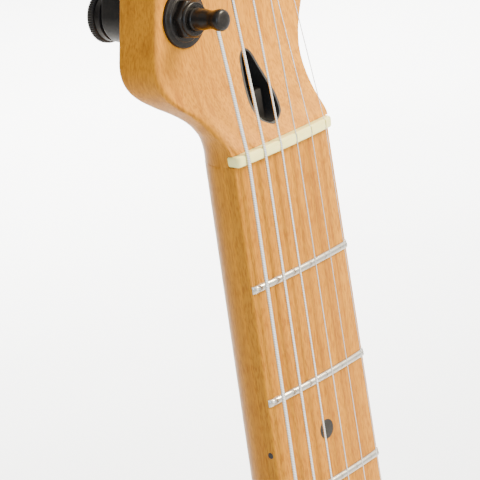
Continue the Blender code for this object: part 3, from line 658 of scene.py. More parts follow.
def cylinder(radius, start, end, steps=40):
    bm = bmesh.new()
    a, b = Vector(start), Vector(end)
    turn = (b - a).to_track_quat("Z", "Y").to_matrix().to_4x4()
    bmesh.ops.create_cone(bm, cap_ends=True, segments=steps, radius1=radius, radius2=radius,
                          depth=(b - a).length, matrix=Matrix.Translation((a + b) / 2) @ turn)
    return bm


def build_neck():
    bm = bmesh.new()
    skin(bm, [neck_ring(z) for z in neck_stations()])
    neck = add_object("neck_wood", bm, LOOKS["maple"])
    cut(neck, "pocket_cut", prism(pocket_outline(), -5, 15.2))
    for index in range(6):
        x, z = post_place(index)
        cut(neck, "post_cut", cylinder(5.0, (x, 5, z), (x, 30, z)))
    settle(neck, "root", "maple", "neck")

    outer, inner = pocket_outline(0.06), pocket_outline(-0.75)
    bm = bmesh.new()
    rings = []
    for outline, lift, floor in ((outer, 0.0, 15.1), (outer, 0.02, None), (inner, 0.05, None),
                                 (inner, 0.0, 14.6)):
        ring = []
        for x, z in outline:
            y = floor if floor is not None else front_depth(x, z) - lift
            ring.append((x, y, z))
        rings.append(ring)
    skin(bm, rings)
    liner = add_object("rod_recess_liner", bm, LOOKS["liner"])
    settle(liner, "root", "black_plastic")

    bm = bmesh.new()
    for i in range(6):
        a = math.tau * i / 6
        bm.verts.new((3.6 * math.cos(a), 10.6 + 3.6 * math.sin(a), 16.5))
    bm.faces.new(bm.verts)
    done = bmesh.ops.extrude_face_region(bm, geom=list(bm.faces))
    bmesh.ops.translate(bm, vec=(0, 0, -9), verts=[
        v for v in done["geom"] if isinstance(v, bmesh.types.BMVert)])
    bmesh.ops.bevel(bm, geom=list(bm.edges), offset=0.3, segments=2, affect="EDGES")
    # The rod's nut and shaft get black plating, darker than their dark steel: the extra darkness is painted
    # shade deep in the recess.
    nut = add_object("rod_adjusting_nut", bm, LOOKS["black_matte"])
    cut(nut, "key_cut", cylinder(1.9, (0, 10.6, 12), (0, 10.6, 20), 6))
    rod_bm = cylinder(2.3, (0, 10.2, -448), (0, 10.2, 8), 20)
    shaft = add_object("rod_shaft", rod_bm, LOOKS["black_matte"])
    settle(nut, "truss_rod", "dark_steel", "truss_rod")
    settle(shaft, "truss_rod", "dark_steel")


def build_fingerboard():
    """Radiused board with rolled edges, and its position dots."""
    bm = bmesh.new()
    rings = []
    stations = spread(BOARD_END, -0.1, 60) + [-0.1]
    for z in stations:
        half = half_width(z)
        roll = 1.0
        ring = []
        for i in range(25):
            x = (half - roll) * (1 - 2 * i / 24)
            ring.append((x, crown(x), z))
        edge = crown(half - roll)
        for i in range(1, 7):
            a = math.pi / 2 * i / 6
            ring.append((-half + roll - roll * math.sin(a), edge + roll * (1 - math.cos(a)), z))
        ring += [(-half, BOARD_THICK, z), (half, BOARD_THICK, z)]
        for i in range(6, 0, -1):
            a = math.pi / 2 * i / 6
            ring.append((half - roll + roll * math.sin(a), edge + roll * (1 - math.cos(a)), z))
        rings.append(ring)
    skin(bm, rings)
    board = add_object("fingerboard_wood", bm, LOOKS["board"])
    settle(board, "root", "board_maple", "fingerboard")

    bm = bmesh.new()
    for number in (3, 5, 7, 9, 12, 15, 17, 19, 21):
        z = (fret_z(number) + fret_z(number - 1)) / 2
        for x in ((-11.5, 11.5) if number == 12 else (0.0,)):
            turn = Matrix.Translation((x, crown(x), z)) @ Matrix.Rotation(math.pi / 2, 4, "X")
            turn_profile(bm, [(0, 0.05), (2.9, 0.05), (3.15, -0.1), (3.15, -1.0), (0, -1.0)], 40, turn)
        for shift in ((-4.0, 4.0) if number == 12 else (0.0,)):
            side = (Matrix.Translation((-half_width(z), 2.9, z + shift))
                    @ Matrix.Rotation(-math.pi / 2, 4, "Y"))
            turn_profile(bm, [(0, 0.05), (0.9, 0.05), (1.0, -0.05), (1.0, -1.0), (0, -1.0)], 24, side)
    dots = add_object("position_dots", bm, LOOKS["dot"])
    settle(dots, "root", "black_plastic")


def build_frets():
    bm = bmesh.new()
    for number in range(1, FRETS + 1):
        z = fret_z(number)
        half = half_width(z) - 0.25
        rings = []
        xs = [-half, -half + 0.25, -half + 0.9, -half + 1.5]
        xs += spread(-half + 3, half - 3, 14) + [half - 3, half - 1.5, half - 0.9, half - 0.25, half]
        for x in xs:
            inset = half - abs(x)
            rise = FRET_RISE * min(1.0, 0.25 + inset / 1.1)
            ring = []
            for i in range(11):
                a = math.pi * i / 10
                ring.append((x, crown(x) + 0.06 - (rise + 0.06) * math.sin(a) ** 0.8,
                             z - FRET_WIDTH / 2 * math.cos(a)))
            rings.append(ring)
        skin(bm, rings)
    frets = add_object("fret_wires", bm, LOOKS["fret"], sharp=50)
    settle(frets, "root", "fret_wire", "frets")


def build_nut():
    half = NUT_WIDTH / 2 - 0.05
    bm = bmesh.new()
    rings = []
    for z, rise, back in ((0.0, NUT_RISE - 0.55, 0.5), (0.3, NUT_RISE - 0.22, 0.15),
                          (1.2, NUT_RISE - 0.05, 0.0),
                          (2.4, NUT_RISE, 0.0), (NUT_THICK - 0.35, NUT_RISE - 0.08, 0.1),
                          (NUT_THICK, NUT_RISE - 0.5, 0.5)):
        ring = []
        for i in range(61):
            x = (half - back) * math.cos(math.pi * i / 60)
            end = half - abs(x)
            round_off = 1.5 * (1 - math.sqrt(max(1 - max(1 - end / 1.5, 0.0) ** 2, 0.0)))
            ring.append((x, crown(x) - rise + round_off, z))
        ring += [(back - half, NUT_SEAT, z), (half - back, NUT_SEAT, z)]
        rings.append(ring)
    skin(bm, rings)
    nut = add_object("bone_nut", bm, LOOKS["bone"], sharp=50)
    for index, gauge in enumerate(STRING_GAUGES):
        at = string_at_nut(index)
        reach = gauge / 2 + 0.12
        slot_bm = bmesh.new()
        shape = [(at.x + reach * math.cos(math.pi * k / 8),
                  at.y + reach * math.sin(math.pi * k / 8)) for k in range(9)]
        shape += [(at.x - reach, -6.0), (at.x + reach, -6.0)]
        skin(slot_bm, [[(x, y, z) for x, y in shape] for z in (-3.0, 6.0)])
        cut(nut, "slot_cut", slot_bm)
    settle(nut, "root", "bone", "nut")


# ---- strings -----------------------------------------------------------------------------
def string_route(index):
    """From behind the bridge wall, over saddle and nut, under the tree, into the hole in the post's waist."""
    nut, saddle = string_at_nut(index), string_at_saddle(index)
    x_post, z_post = post_place(index)
    points = [Vector((saddle.x, 1.5, WALL_Z - 4)), Vector((saddle.x, 1.0, WALL_Z + 1))]
    points += [saddle + Vector((0, 0.5, -2.4)), saddle + Vector((0, 0.08, -0.8)), saddle]
    points += [saddle.lerp(nut, share) for share in (0.02, 0.25, 0.5, 0.75, 0.99)] + [nut]
    if index >= 4:
        tree = string_at_tree(index)
        points += [nut.lerp(tree, share) for share in (0.03, 0.5, 0.97)] + [tree]
    hole = Vector((x_post + (0.9 if index < 2 else 1.9), WAIST_Y - 0.3, z_post))
    start = points[-1]
    surface = start.lerp(hole, 1 - WAIST_RADIUS / (hole - start).length)
    return points + [start.lerp(surface, share) for share in (0.04, 0.5, 0.96)] + [surface]


def build_strings():
    for index in range(6):
        bm = bmesh.new()
        tube(bm, string_route(index), STRING_GAUGES[index] / 2, 12 if index < 3 else 10)
        look = LOOKS["wound"] if index < 3 else LOOKS["plain"]
        made = add_object(f"string_wire_{6 - index}", bm, look, sharp=60)
        settle(made, "root", "string_steel", f"string_{6 - index}")


def build_string_tree():
    places = [string_at_tree(index) for index in (4, 5)]
    x = sum(spot.x for spot in places) / 2
    bar_y = max(spot.y for spot in places) - 0.35
    bm = bmesh.new()
    bevelled_box(bm, (x - 6.2, bar_y - 2.1, TREE_Z - 2.0), (x + 6.2, bar_y - 0.3, TREE_Z + 2.0), 0.55)
    bevelled_box(bm, (x - 1.6, bar_y - 0.8, TREE_Z - 1.6), (x + 1.6, HEAD_FACE, TREE_Z + 1.6), 0.3)
    head = Matrix.Translation((x, bar_y - 2.0, TREE_Z)) @ Matrix.Rotation(math.pi / 2, 4, "X")
    turn_profile(bm, rounded([(0, 0.9), (1.5, 0.7), (1.8, 0.0), (1.8, -0.4), (0, -0.4)], 0.2), 24, head)
    tree = add_object("string_retainer", bm, LOOKS["black"])
    settle(tree, "root", "black_metal", "string_tree")


# ---- tuners ------------------------------------------------------------------------------
def build_tuner(index):
    number = 6 - index
    x, z = post_place(index)
    local = place(x, 0, z, POST_LINE_ANGLE, math.pi / 2)
    face, back, rear = -HEAD_FACE, -HEAD_BACK - 0.05, -HOUSING_BACK

    sleeve = rounded([(3.3, face + 4.6), (4.6, face + 4.9), (5.0, face + 4.4), (5.0, face + 1.5),
                      (6.4, face + 1.4),
                      (6.6, face + 1.1), (8.2, face + 1.0), (8.35, face + 0.05)], 0.3)
    sleeve += [(4.8, face + 0.02), (4.8, back + 0.3), (3.3, back + 0.3), (3.3, face + 4.6)]
    bm = bmesh.new()
    turn_profile(bm, sleeve, 56)
    hexagon = bmesh.new()
    rings = []
    for height, radius in ((face + 1.2, 6.0), (face + 3.5, 6.0), (face + 4.0, 5.5)):
        rings.append([Vector((radius * math.cos(math.tau * i / 6), radius * math.sin(math.tau * i / 6),
                              height))
                      for i in range(6)])
    skin(hexagon, rings)
    bushing = add_object(f"bushing_{number}", bm, LOOKS["black"], local)
    nut = add_object(f"bushing_hex_{number}", hexagon, LOOKS["black"], local, 20)
    soften = nut.modifiers.new("soft_edges", "BEVEL")
    soften.width = 0.3 * MM
    soften.segments = 2
    settle(bushing, "root", "black_metal", f"tuner_bushing_{number}")
    settle(nut, "root", "black_metal")

    tip, waist = -POST_TIP, -WAIST_Y
    profile = [(0.0, tip), (1.5, tip - 0.06), (2.4, tip - 0.22), (2.9, tip - 0.6), (3.1, tip - 1.15),
               (3.1, tip - 1.9), (2.95, tip - 2.6), (2.66, waist + 0.9), (WAIST_RADIUS, waist + 0.2),
               (WAIST_RADIUS + 0.02, waist - 0.5), (2.7, waist - 1.4), (2.92, waist - 2.6), (3.0, face + 5.6),
               (3.25, face + 5.4), (3.25, back - 0.5), (3.0, back - 2.4), (0.0, back - 2.5)]
    post = turned(f"post_{number}", rounded(profile, 0.25, 2), LOOKS["black"], local, 44)
    settle(post, f"tuner_post_{number}", "black_metal", f"tuner_post_{number}")

    half, top = 7.4, WORM_OFFSET + 4.2
    outline = []
    for step in range(21):
        a = math.pi + math.pi * step / 20
        outline.append((half * math.cos(a), half * math.sin(a)))
    for cx, start in ((half - 2.2, 0.0), (2.2 - half, math.pi / 2)):
        for step in range(7):
            a = start + math.pi / 2 * step / 6
            outline.append((cx + 2.2 * math.cos(a), top - 2.2 + 2.2 * math.sin(a)))
    bm = bmesh.new()
    levels = [(back, 0.0)] + [(rear + 1.2 * (1 - math.sin(math.pi / 2 * k / 5)),
                               1.2 * (1 - math.cos(math.pi / 2 * k / 5)))
                              for k in range(6)]
    rings = []
    for height, inset in levels:
        shrink_x, shrink_y = (half - inset) / half, (top + half - 2 * inset) / (top + half)
        middle = (top - half) / 2
        rings.append([(px * shrink_x, middle + (py - middle) * shrink_y, height) for px, py in outline])
    skin(bm, rings)
    housing = add_object(f"housing_{number}", bm, LOOKS["black_matte"], local)
    settle(housing, "root", "black_metal", f"tuner_housing_{number}")

    bm = bmesh.new()
    worm_z = (-HEAD_BACK - 0.3 + rear) / 2 + 0.15
    boss = Matrix.Translation((-half + 0.4, WORM_OFFSET, worm_z)) @ Matrix.Rotation(-math.pi / 2, 4, "Y")
    turn_profile(bm, rounded([(0, 1.9), (3.1, 1.9), (3.6, 1.2), (3.8, -0.6), (0, -0.6)], 0.3), 36, boss)
    collar = add_object(f"housing_collar_{number}", bm, LOOKS["black_matte"], local)
    settle(collar, "root", "black_metal")

    def knurl(angle, radius):
        return 0.12 * math.cos(68 * angle) if radius > 7.5 else 0.0

    wheel_profile = [(0.0, rear - 0.35), (6.8, rear - 0.35), (7.15, rear - 0.6), (7.15, rear - 2.3),
                     (6.8, rear - 2.5),
                     (6.8, rear - 2.7), (7.4, rear - 2.85), (7.6, rear - 3.05), (7.6, rear - 4.7),
                     (7.4, rear - 4.95),
                     (6.2, rear - 5.25), (5.6, rear - 5.2), (5.2, rear - 4.9), (0.0, rear - 4.8)]
    wheel = turned(f"lock_wheel_{number}", wheel_profile, LOOKS["black_matte"], local, 340, knurl, 45)
    settle(wheel, f"tuner_lock_wheel_{number}", "black_metal", f"tuner_lock_wheel_{number}")

    shaft_local = local @ Matrix.Translation(Vector((0, WORM_OFFSET, worm_z)) * MM)
    shaft_local = shaft_local @ Matrix.Rotation(-math.pi / 2, 4, "Y")
    bm = bmesh.new()
    turn_profile(bm, rounded([(0.0, 19.4), (2.3, 19.4), (2.9, 18.7), (2.9, 17.9), (2.0, 17.2), (2.0, 7.0),
                              (0, 7.0)], 0.3), 28)
    rings = []
    for k in range(25):
        t = k / 24
        along = 18.6 + 13.65 * t
        width = 3.0 + 2.5 * math.sin(math.pi * min(t * 1.15, 1.0) ** 0.8) ** 0.7
        width *= math.sqrt(max(1 - max((t - 0.72) / 0.285, 0.0) ** 2, 0.0))
        thick = min(2.8 * math.sqrt(max(1 - max((t - 0.8) / 0.205, 0.0) ** 2, 0.0)), 1.9 + 4 * t)
        width, thick = max(width, 0.25) * 0.98, max(thick, 0.2)
        ring = []
        for i in range(32):
            a = math.tau * i / 32
            ring.append((width * math.copysign(abs(math.cos(a)) ** 0.8, math.cos(a)),
                         thick * math.copysign(abs(math.sin(a)) ** 0.55, math.sin(a)), along))
        rings.append(ring)
    skin(bm, rings)
    button = add_object(f"button_{number}", bm, LOOKS["black"], shaft_local)
    settle(button, f"tuner_button_{number}", "black_metal", f"tuner_button_{number}")


# ---- body --------------------------------------------------------------------------------
BODY_POINTS = [(0, -798), (-62, -793), (-118, -770), (-154, -722), (-160, -668), (-145, -612),
               (-121, -566), (-112, -528), (-119, -484), (-135, -438), (-147, -396), (-147, -362),
               (-133, -340), (-113, -338), (-93, -353), (-72, -380), (-51, -398), (-34, -402),
               (0, -403), (34, -408), (50, -420), (72, -421), (91, -406), (108, -393), (126, -392),
               (137, -408), (138, -438), (127, -486), (112, -530), (110, -566), (124, -612), (148, -660),
               (161, -708), (154, -752), (122, -783), (64, -796)]
BODY_OUTLINE = [Vector((max(p[0], -160.1), *p[1:])) for p in smooth_closed(BODY_POINTS, 8)]


def forearm(x, z):
    reach = (-x - 78) * 0.86 + (-z - 690) * 0.5
    return 13.0 * min(max(reach / 82, 0.0), 1.0) ** 1.5


def belly(x, z):
    reach = (-x - 52) * 0.97 - abs(z + 528) * 0.42 + 22
    return 15.0 * min(max(reach / 80, 0.0), 1.0) ** 1.4


def body_mesh(outline, corner_steps, cell):
    count = len(outline)
    points = [Vector(p) for p in outline]
    inward = []
    for i in range(count):
        along = (points[(i + 1) % count] - points[i - 1]).normalized()
        inward.append(Vector((along.y, -along.x)))
    bm = bmesh.new()
    rings = []
    for side, face in ((1, BODY_FRONT), (-1, BODY_BACK)):
        steps = range(corner_steps + 1) if side > 0 else reversed(range(corner_steps + 1))
        for step in steps:
            a = math.pi / 2 * (1 - step / corner_steps)
            inset = EDGE_RADIUS * (1 - math.cos(a))
            depth = face + side * EDGE_RADIUS * (1 - math.sin(a))
            rings.append([(p.x + n.x * inset, depth, p.y + n.y * inset) for p, n in zip(points, inward)])
    skin(bm, rings)
    for cap_y in (BODY_FRONT, BODY_BACK):
        for normal, cuts in (((1, 0, 0), range(-160, 161, cell)), ((0, 0, 1), range(-800, -330, cell))):
            for at in cuts:
                faces = [f for f in bm.faces if all(abs(v.co.y - cap_y) < 0.01 for v in f.verts)]
                parts = {e for f in faces for e in f.edges} | {v for f in faces for v in f.verts}
                bmesh.ops.bisect_plane(bm, geom=faces + list(parts), plane_co=Vector(normal) * at,
                                       plane_no=normal, dist=0.001)
    bmesh.ops.triangulate(bm, faces=[f for f in bm.faces if len(f.verts) > 4])
    middle = (BODY_FRONT + BODY_BACK) / 2
    for v in bm.verts:
        v.co.y += forearm(v.co.x, v.co.z) if v.co.y < middle else -belly(v.co.x, v.co.z)
    return bm


def build_body():
    body = add_object("body_wood", body_mesh(BODY_OUTLINE, 8, 10), LOOKS["ash"])
    half = half_width(BOARD_END) + 0.15
    for low, high in (((-half, 0, BOARD_END - 0.2), (half, HEEL_BACK + 0.1, -380)),
                      ((-38, 0, -623), (38, 34, -479)),
                      ((56, 0, -646), (76, 36, -598)),
                      ((66, 0, -737), (102, 36, -644))):
        bm = bmesh.new()
        bevelled_box(bm, low, high, 0.05, 1)
        cut(body, "rout_cut", bm)
    cut(body, "jack_cut", cylinder(11.2, (122, 32, -712), (172, 32, -712), 64))
    settle(body, "root", "body_lacquer", "body")


GUARD_POINTS = [(-33, -484), (-48, -486), (-66, -508), (-60, -560), (-58, -600), (-44, -625), (-10, -629),
                (30, -629), (43, -634), (46, -655), (50, -705), (64, -742), (94, -750), (112, -738),
                (118, -705),
                (104, -640), (86, -580), (84, -530), (92, -480), (90, -452), (74, -446), (54, -452),
                (44, -470), (34, -483)]
PICKUPS = (("neck_pickup", -502.0), ("bridge_pickup", -601.0))
KNOBS = (("volume", (84.0, -660.0)), ("tone", (84.0, -716.0)))
SWITCH_SPOT = (66.0, -622.0)
GUARD_SCREWS = [(-56, -492), (-59, -540), (-52, -590), (-38, -620), (60, -735), (108, -735), (114, -700),
                (100, -640), (86, -596), (80, -530), (86, -480), (80, -452), (50, -468), (49, -672)]


def inset(outline, distance):
    """Move a closed outline inward by a distance."""
    count = len(outline)
    points = [Vector(p) for p in outline]
    area = sum(a.x * b.y - b.x * a.y for a, b in zip(points, points[1:] + points[:1]))
    turn = 1 if area > 0 else -1
    moved = []
    for i in range(count):
        along = (points[(i + 1) % count] - points[i - 1]).normalized()
        moved.append((points[i].x - along.y * turn * distance, points[i].y + along.x * turn * distance))
    return moved


def screw_head(bm, spot, out, radius, height):
    """A domed head with a cross recess pressed into it."""
    matrix = Matrix.Translation(spot) @ Vector(out).to_track_quat("Z", "Y").to_matrix().to_4x4()
    steps, rings = 48, []
    for k in range(13):
        share = k / 12
        ring = []
        for i in range(steps):
            a = math.tau * i / steps
            r = radius * (1 - share) + 0.001
            x, y = r * math.cos(a), r * math.sin(a)
            lift = height * math.sqrt(max(1 - (1 - share) ** 2, 0.0))
            arm = min(abs(x), abs(y))
            reach = max(abs(x), abs(y))
            dent = ease((0.17 * radius - arm) / (0.07 * radius))
            dent *= ease((0.62 * radius - reach) / (0.14 * radius))
            ring.append(matrix @ Vector((x, y, lift - dent * height * 0.9)))
        rings.append(ring)
    skin(bm, [[matrix @ Vector((radius * math.cos(math.tau * i / steps),
                                radius * math.sin(math.tau * i / steps),
                                -0.4)) for i in range(steps)]] + rings)


def build_pickguard():
    outline = smooth_closed(GUARD_POINTS, 8)
    bm = bmesh.new()
    slope = inset(outline, 1.5)
    rings = [[(x, GUARD_FACE + 2.3, z) for x, z in outline], [(x, GUARD_FACE + 1.9, z) for x, z in outline],
             [(x, GUARD_FACE + 0.12, z) for x, z in slope],
             [(x, GUARD_FACE, z) for x, z in inset(outline, 1.7)]]
    skin(bm, rings)
    guard = add_object("pickguard_sheet", bm, LOOKS["guard"])
    half = half_width(BOARD_END) + 0.6
    bm = bmesh.new()
    bevelled_box(bm, (-half, 0, BOARD_END - 0.6), (half, 20, -440), 0.05, 1)
    cut(guard, "neck_cut", bm)
    for _, z in PICKUPS:
        bm = bmesh.new()
        corner = rounded_rectangle(35.5, 19.5, 2.2)
        skin(bm, [[(x, y, z + dz) for x, dz in corner] for y in (0, 20)])
        cut(guard, "window_cut", bm)
    for _, (x, z) in KNOBS:
        cut(guard, "shaft_cut", cylinder(4.9, (x, 0, z), (x, 20, z)))
    x, z = SWITCH_SPOT
    bm = bmesh.new()
    skin(bm, [[(x + px, y, z + pz) for px, pz in rounded_rectangle(1.6, 13.0, 1.2)] for y in (0, 20)])
    cut(guard, "slot_cut", bm)
    guard.data.set_sharp_from_angle(angle=math.radians(20))
    settle(guard, "root", "guard_plastic", "pickguard")

    bm = bmesh.new()
    for x, z in GUARD_SCREWS:
        screw_head(bm, (x, GUARD_FACE, z), (0, -1, 0), 2.7, 0.9)
    for _, z in PICKUPS:
        for side in (-1, 1):
            screw_head(bm, (side * 39.0, GUARD_FACE, z), (0, -1, 0), 2.0, 0.8)
    for side in (-1, 1):
        screw_head(bm, (SWITCH_SPOT[0], GUARD_FACE, SWITCH_SPOT[1] + side * 18.5), (0, -1, 0), 2.3, 0.9)
    screws = add_object("guard_screws", bm, LOOKS["black"], sharp=50)
    settle(screws, "root", "black_metal")


def rounded_rectangle(half_x, half_y, radius, steps=6):
    points = []
    for sx, sy, start in ((1, 1, 0), (-1, 1, 90), (-1, -1, 180), (1, -1, 270)):
        for k in range(steps + 1):
            a = math.radians(start + 90 * k / steps)
            points.append((sx * (half_x - radius) + radius * math.cos(a),
                           sy * (half_y - radius) + radius * math.sin(a)))
    return points


def build_pickup(name, z):
    bm = bmesh.new()
    for side in (-1, 1):
        middle = z + side * 9.65
        rings = []
        for y, grow in ((26.8, 0.0), (4.6, 0.0), (4.1, -0.15), (3.75, -0.5), (3.62, -1.0)):
            rings.append([(x, y, middle + dz) for x, dz in rounded_rectangle(34.8 + grow, 9.15 + grow, 3.2)])
        skin(bm, rings)
    shell = add_object(name + "_bobbins", bm, LOOKS["plastic"])
    settle(shell, "root", "black_plastic", name)
    bm = bmesh.new()
    flat = bmesh.new()
    for index in range(6):
        x = string_x(index, STRING_SPREAD_BRIDGE * 0.96)
        screw_head(bm, (x, 3.62, z - 9.65), (0, -1, 0), 2.5, 0.5)
        spin = Matrix.Translation((x, 3.62, z + 9.65)) @ Matrix.Rotation(math.pi / 2, 4, "X")
        turn_profile(flat, rounded([(0, 0.18), (2.3, 0.18), (2.5, -0.05), (2.5, -1.0), (0, -1.0)], 0.1, 2),
                     40, spin)
    poles = add_object(name + "_pole_screws", bm, LOOKS["pole"], sharp=50)
    slugs = add_object(name + "_slugs", flat, LOOKS["pole"])
    settle(poles, "root", "dark_steel")
    settle(slugs, "root", "dark_steel")


def build_knob(name, x, z):
    face = -GUARD_FACE
    local = place(x, 0, z, 0, math.pi / 2)

    def ridges(angle, radius):
        return -0.16 * (0.5 - 0.5 * math.cos(36 * angle)) ** 3 if 8.0 < radius < 9.9 else 0.0

    profile = [(0.0, face + 17.15), (4.0, face + 17.3), (7.2, face + 17.58), (7.9, face + 17.4),
               (8.35, face + 16.6),
               (8.6, face + 14.8), (9.15, face + 8.5), (9.4, face + 6.0), (10.2, face + 4.0),
               (12.2, face + 2.7),
               (12.4, face + 1.6), (12.3, face + 0.9), (9.0, face + 0.85), (9.0, face + 7.0),
               (0.0, face + 7.0)]
    knob = turned(f"{name}_knob_cap", rounded(profile, 0.5, 2), LOOKS["plastic"], local, 216, ridges)
    settle(knob, f"{name}_knob", "black_plastic", f"{name}_knob")
    bm = bmesh.new()
    bevelled_box(bm, (-0.45, 1.6, face + 17.1), (0.45, 7.6, face + 17.58), 0.12, 2)
    mark = add_object(f"{name}_pointer_line", bm, LOOKS["bone"], local)
    settle(mark, f"{name}_knob", "bone")
    pot = turned(f"{name}_pot_case", [(0.0, face - 13.2), (11.8, face - 13.2), (12.0, face - 12.6),
                                      (12.0, face - 3.6),
                                      (4.5, face - 3.3), (4.5, face - 0.2), (3.4, face - 0.2),
                                      (0.0, face - 0.2)],
                 LOOKS["dark"], local, 48)
    settle(pot, "root", "dark_steel", f"{name}_pot")
    bm = bmesh.new()
    skin(bm, [[Vector((5.6 * math.cos(math.tau * i / 6), 5.6 * math.sin(math.tau * i / 6),
                       h)) for i in range(6)]
              for h in (face + 0.02, face + 0.75)])
    nut = add_object(f"{name}_pot_nut", bm, LOOKS["dark"], local)
    settle(nut, "root", "dark_steel")


def build_selector():
    x, z = SWITCH_SPOT
    pivot_y = BODY_FRONT + 12.0
    local = place(x, pivot_y, z, 0, math.pi / 2)
    bm = bmesh.new()
    bevelled_box(bm, (-0.75, -2.6, -2.8), (0.75, 2.6, 24.0), 0.25, 2)
    blade = add_object("selector_blade", bm, LOOKS["dark"], local)
    tip = turned("selector_tip", rounded([(0.0, 29.95), (1.9, 29.7), (3.2, 28.6), (3.7, 26.6), (3.4, 23.6),
                                          (2.5, 20.4), (2.3, 18.6), (0.0, 18.5)], 0.8), LOOKS["plastic"],
                                          local, 40)
    settle(blade, "selector_lever", "dark_steel", "selector_lever")
    settle(tip, "selector_lever", "black_plastic")
    bm = bmesh.new()
    for side in (-1, 1):
        low = (x + side * 5.9, BODY_FRONT + 1.1, z - 20.8)
        high = (x + side * 1.9, BODY_FRONT + 24.8, z + 20.8)
        bevelled_box(bm, [min(a, b) for a, b in zip(low, high)], [max(a, b) for a, b in zip(low, high)],
                     0.4, 2)
    for side in (-1, 1):
        bevelled_box(bm, (x - 5.9, BODY_FRONT + 1.1, z + side * 17.3 - 3.4),
                     (x + 5.9, BODY_FRONT + 6.0, z + side * 17.3 + 3.4), 0.4, 2)
    bevelled_box(bm, (x - 5.9, BODY_FRONT + 22.8, z - 20.8), (x + 5.9, BODY_FRONT + 24.8, z + 20.8), 0.4, 2)
    frame_piece = add_object("selector_frame", bm, LOOKS["dark"])
    settle(frame_piece, "root", "dark_steel", "selector_switch")


# ---- bridge, plate and trim --------------------------------------------------------------
BRIDGE_TOP = BODY_FRONT - 2.3


def build_bridge():
    bm = bmesh.new()
    bevelled_box(bm, (-39.9, BRIDGE_TOP, WALL_Z - 2.95), (39.9, BRIDGE_TOP + 2.2, -634.1), 0.6)
    plate = add_object("bridge_base", bm, LOOKS["black"])
    bm = bmesh.new()
    bevelled_box(bm, (-39.9, -2.45, WALL_Z - 2.95), (39.9, BRIDGE_TOP + 1.0, WALL_Z - 0.65), 0.6)
    wall = add_object("bridge_back_wall", bm, LOOKS["black"])
    for index in range(6):
        x = string_x(index, STRING_SPREAD_BRIDGE)
        cut(wall, "anchor_cut", cylinder(1.3, (x, 1.2, WALL_Z - 8), (x, 1.2, WALL_Z + 5), 24))
    bm = bmesh.new()
    for x, z in ((-34, -641), (34, -641), (0, -641), (-34, -664), (34, -664)):
        screw_head(bm, (x, BRIDGE_TOP, z), (0, -1, 0), 3.0, 1.2)
    screws = add_object("bridge_screws", bm, LOOKS["black"], sharp=50)
    settle(plate, "root", "black_metal", "bridge_plate")
    settle(wall, "root", "black_metal")
    settle(screws, "root", "black_metal")

    for number in range(3):
        low, high = string_at_saddle(2 * number), string_at_saddle(2 * number + 1)
        x = (low.x + high.x) / 2
        top = max(low.y + STRING_GAUGES[2 * number] / 2, high.y + STRING_GAUGES[2 * number + 1] / 2) + 0.3
        middle = top + 3.6
        barrel = rounded([(0.0, 9.6), (3.2, 9.6), (3.58, 9.1), (3.58, 0.0), (3.58, -9.1), (3.2, -9.6),
                          (0.0, -9.6)], 0.2)
        local = place(x, middle, -SCALE_LENGTH) @ Matrix.Rotation(math.pi / 2, 4, "Y")
        saddle = turned(f"saddle_barrel_{number + 1}", barrel, LOOKS["pole"], local, 56)
        bm = bmesh.new()
        for side in (-1, 1):
            turn = (Matrix.Translation((x + side * 8.0, 0, -SCALE_LENGTH))
                    @ Matrix.Rotation(math.pi / 2, 4, "X"))
            turn_profile(bm, rounded([(0, -middle + 3.3), (1.2, -middle + 3.3), (1.4, -middle + 3.0),
                                      (1.4, -BRIDGE_TOP + 0.3), (0.0, -BRIDGE_TOP + 0.25)], 0.15), 20, turn)
        turn_profile(bm, [(0.0, -SCALE_LENGTH - 3.2), (1.25, -SCALE_LENGTH - 3.2), (1.25, WALL_Z - 4.4),
                          (1.1, WALL_Z - 4.9), (0.0, WALL_Z - 4.95)], 24,
                     Matrix.Translation((x, middle, 0)))
        screws = add_object(f"saddle_screws_{number + 1}", bm, LOOKS["dark"])
        settle(saddle, f"bridge_saddle_{number + 1}", "black_metal", f"bridge_saddle_{number + 1}")
        settle(screws, f"bridge_saddle_{number + 1}", "dark_steel")


def build_neck_plate():
    bm = bmesh.new()
    rings = []
    for y, grow in ((54.02, -0.1), (54.4, 0.0), (55.6, 0.0), (56.1, -0.2), (56.28, -0.7)):
        rings.append([(x, y, -443 + dz) for x, dz in rounded_rectangle(25.4 + grow, 27.9 + grow, 3.0)])
    skin(bm, rings)
    plate = add_object("neck_joint_plate", bm, LOOKS["black"])
    bm = bmesh.new()
    for x in (-19.0, 19.0):
        for z in (-463.0, -423.0):
            screw_head(bm, (x, 56.2, z), (0, 1, 0), 4.4, 1.6)
    screws = add_object("neck_plate_screws", bm, LOOKS["black"], sharp=50)
    settle(plate, "root", "black_metal", "neck_plate")
    settle(screws, "root", "black_metal")


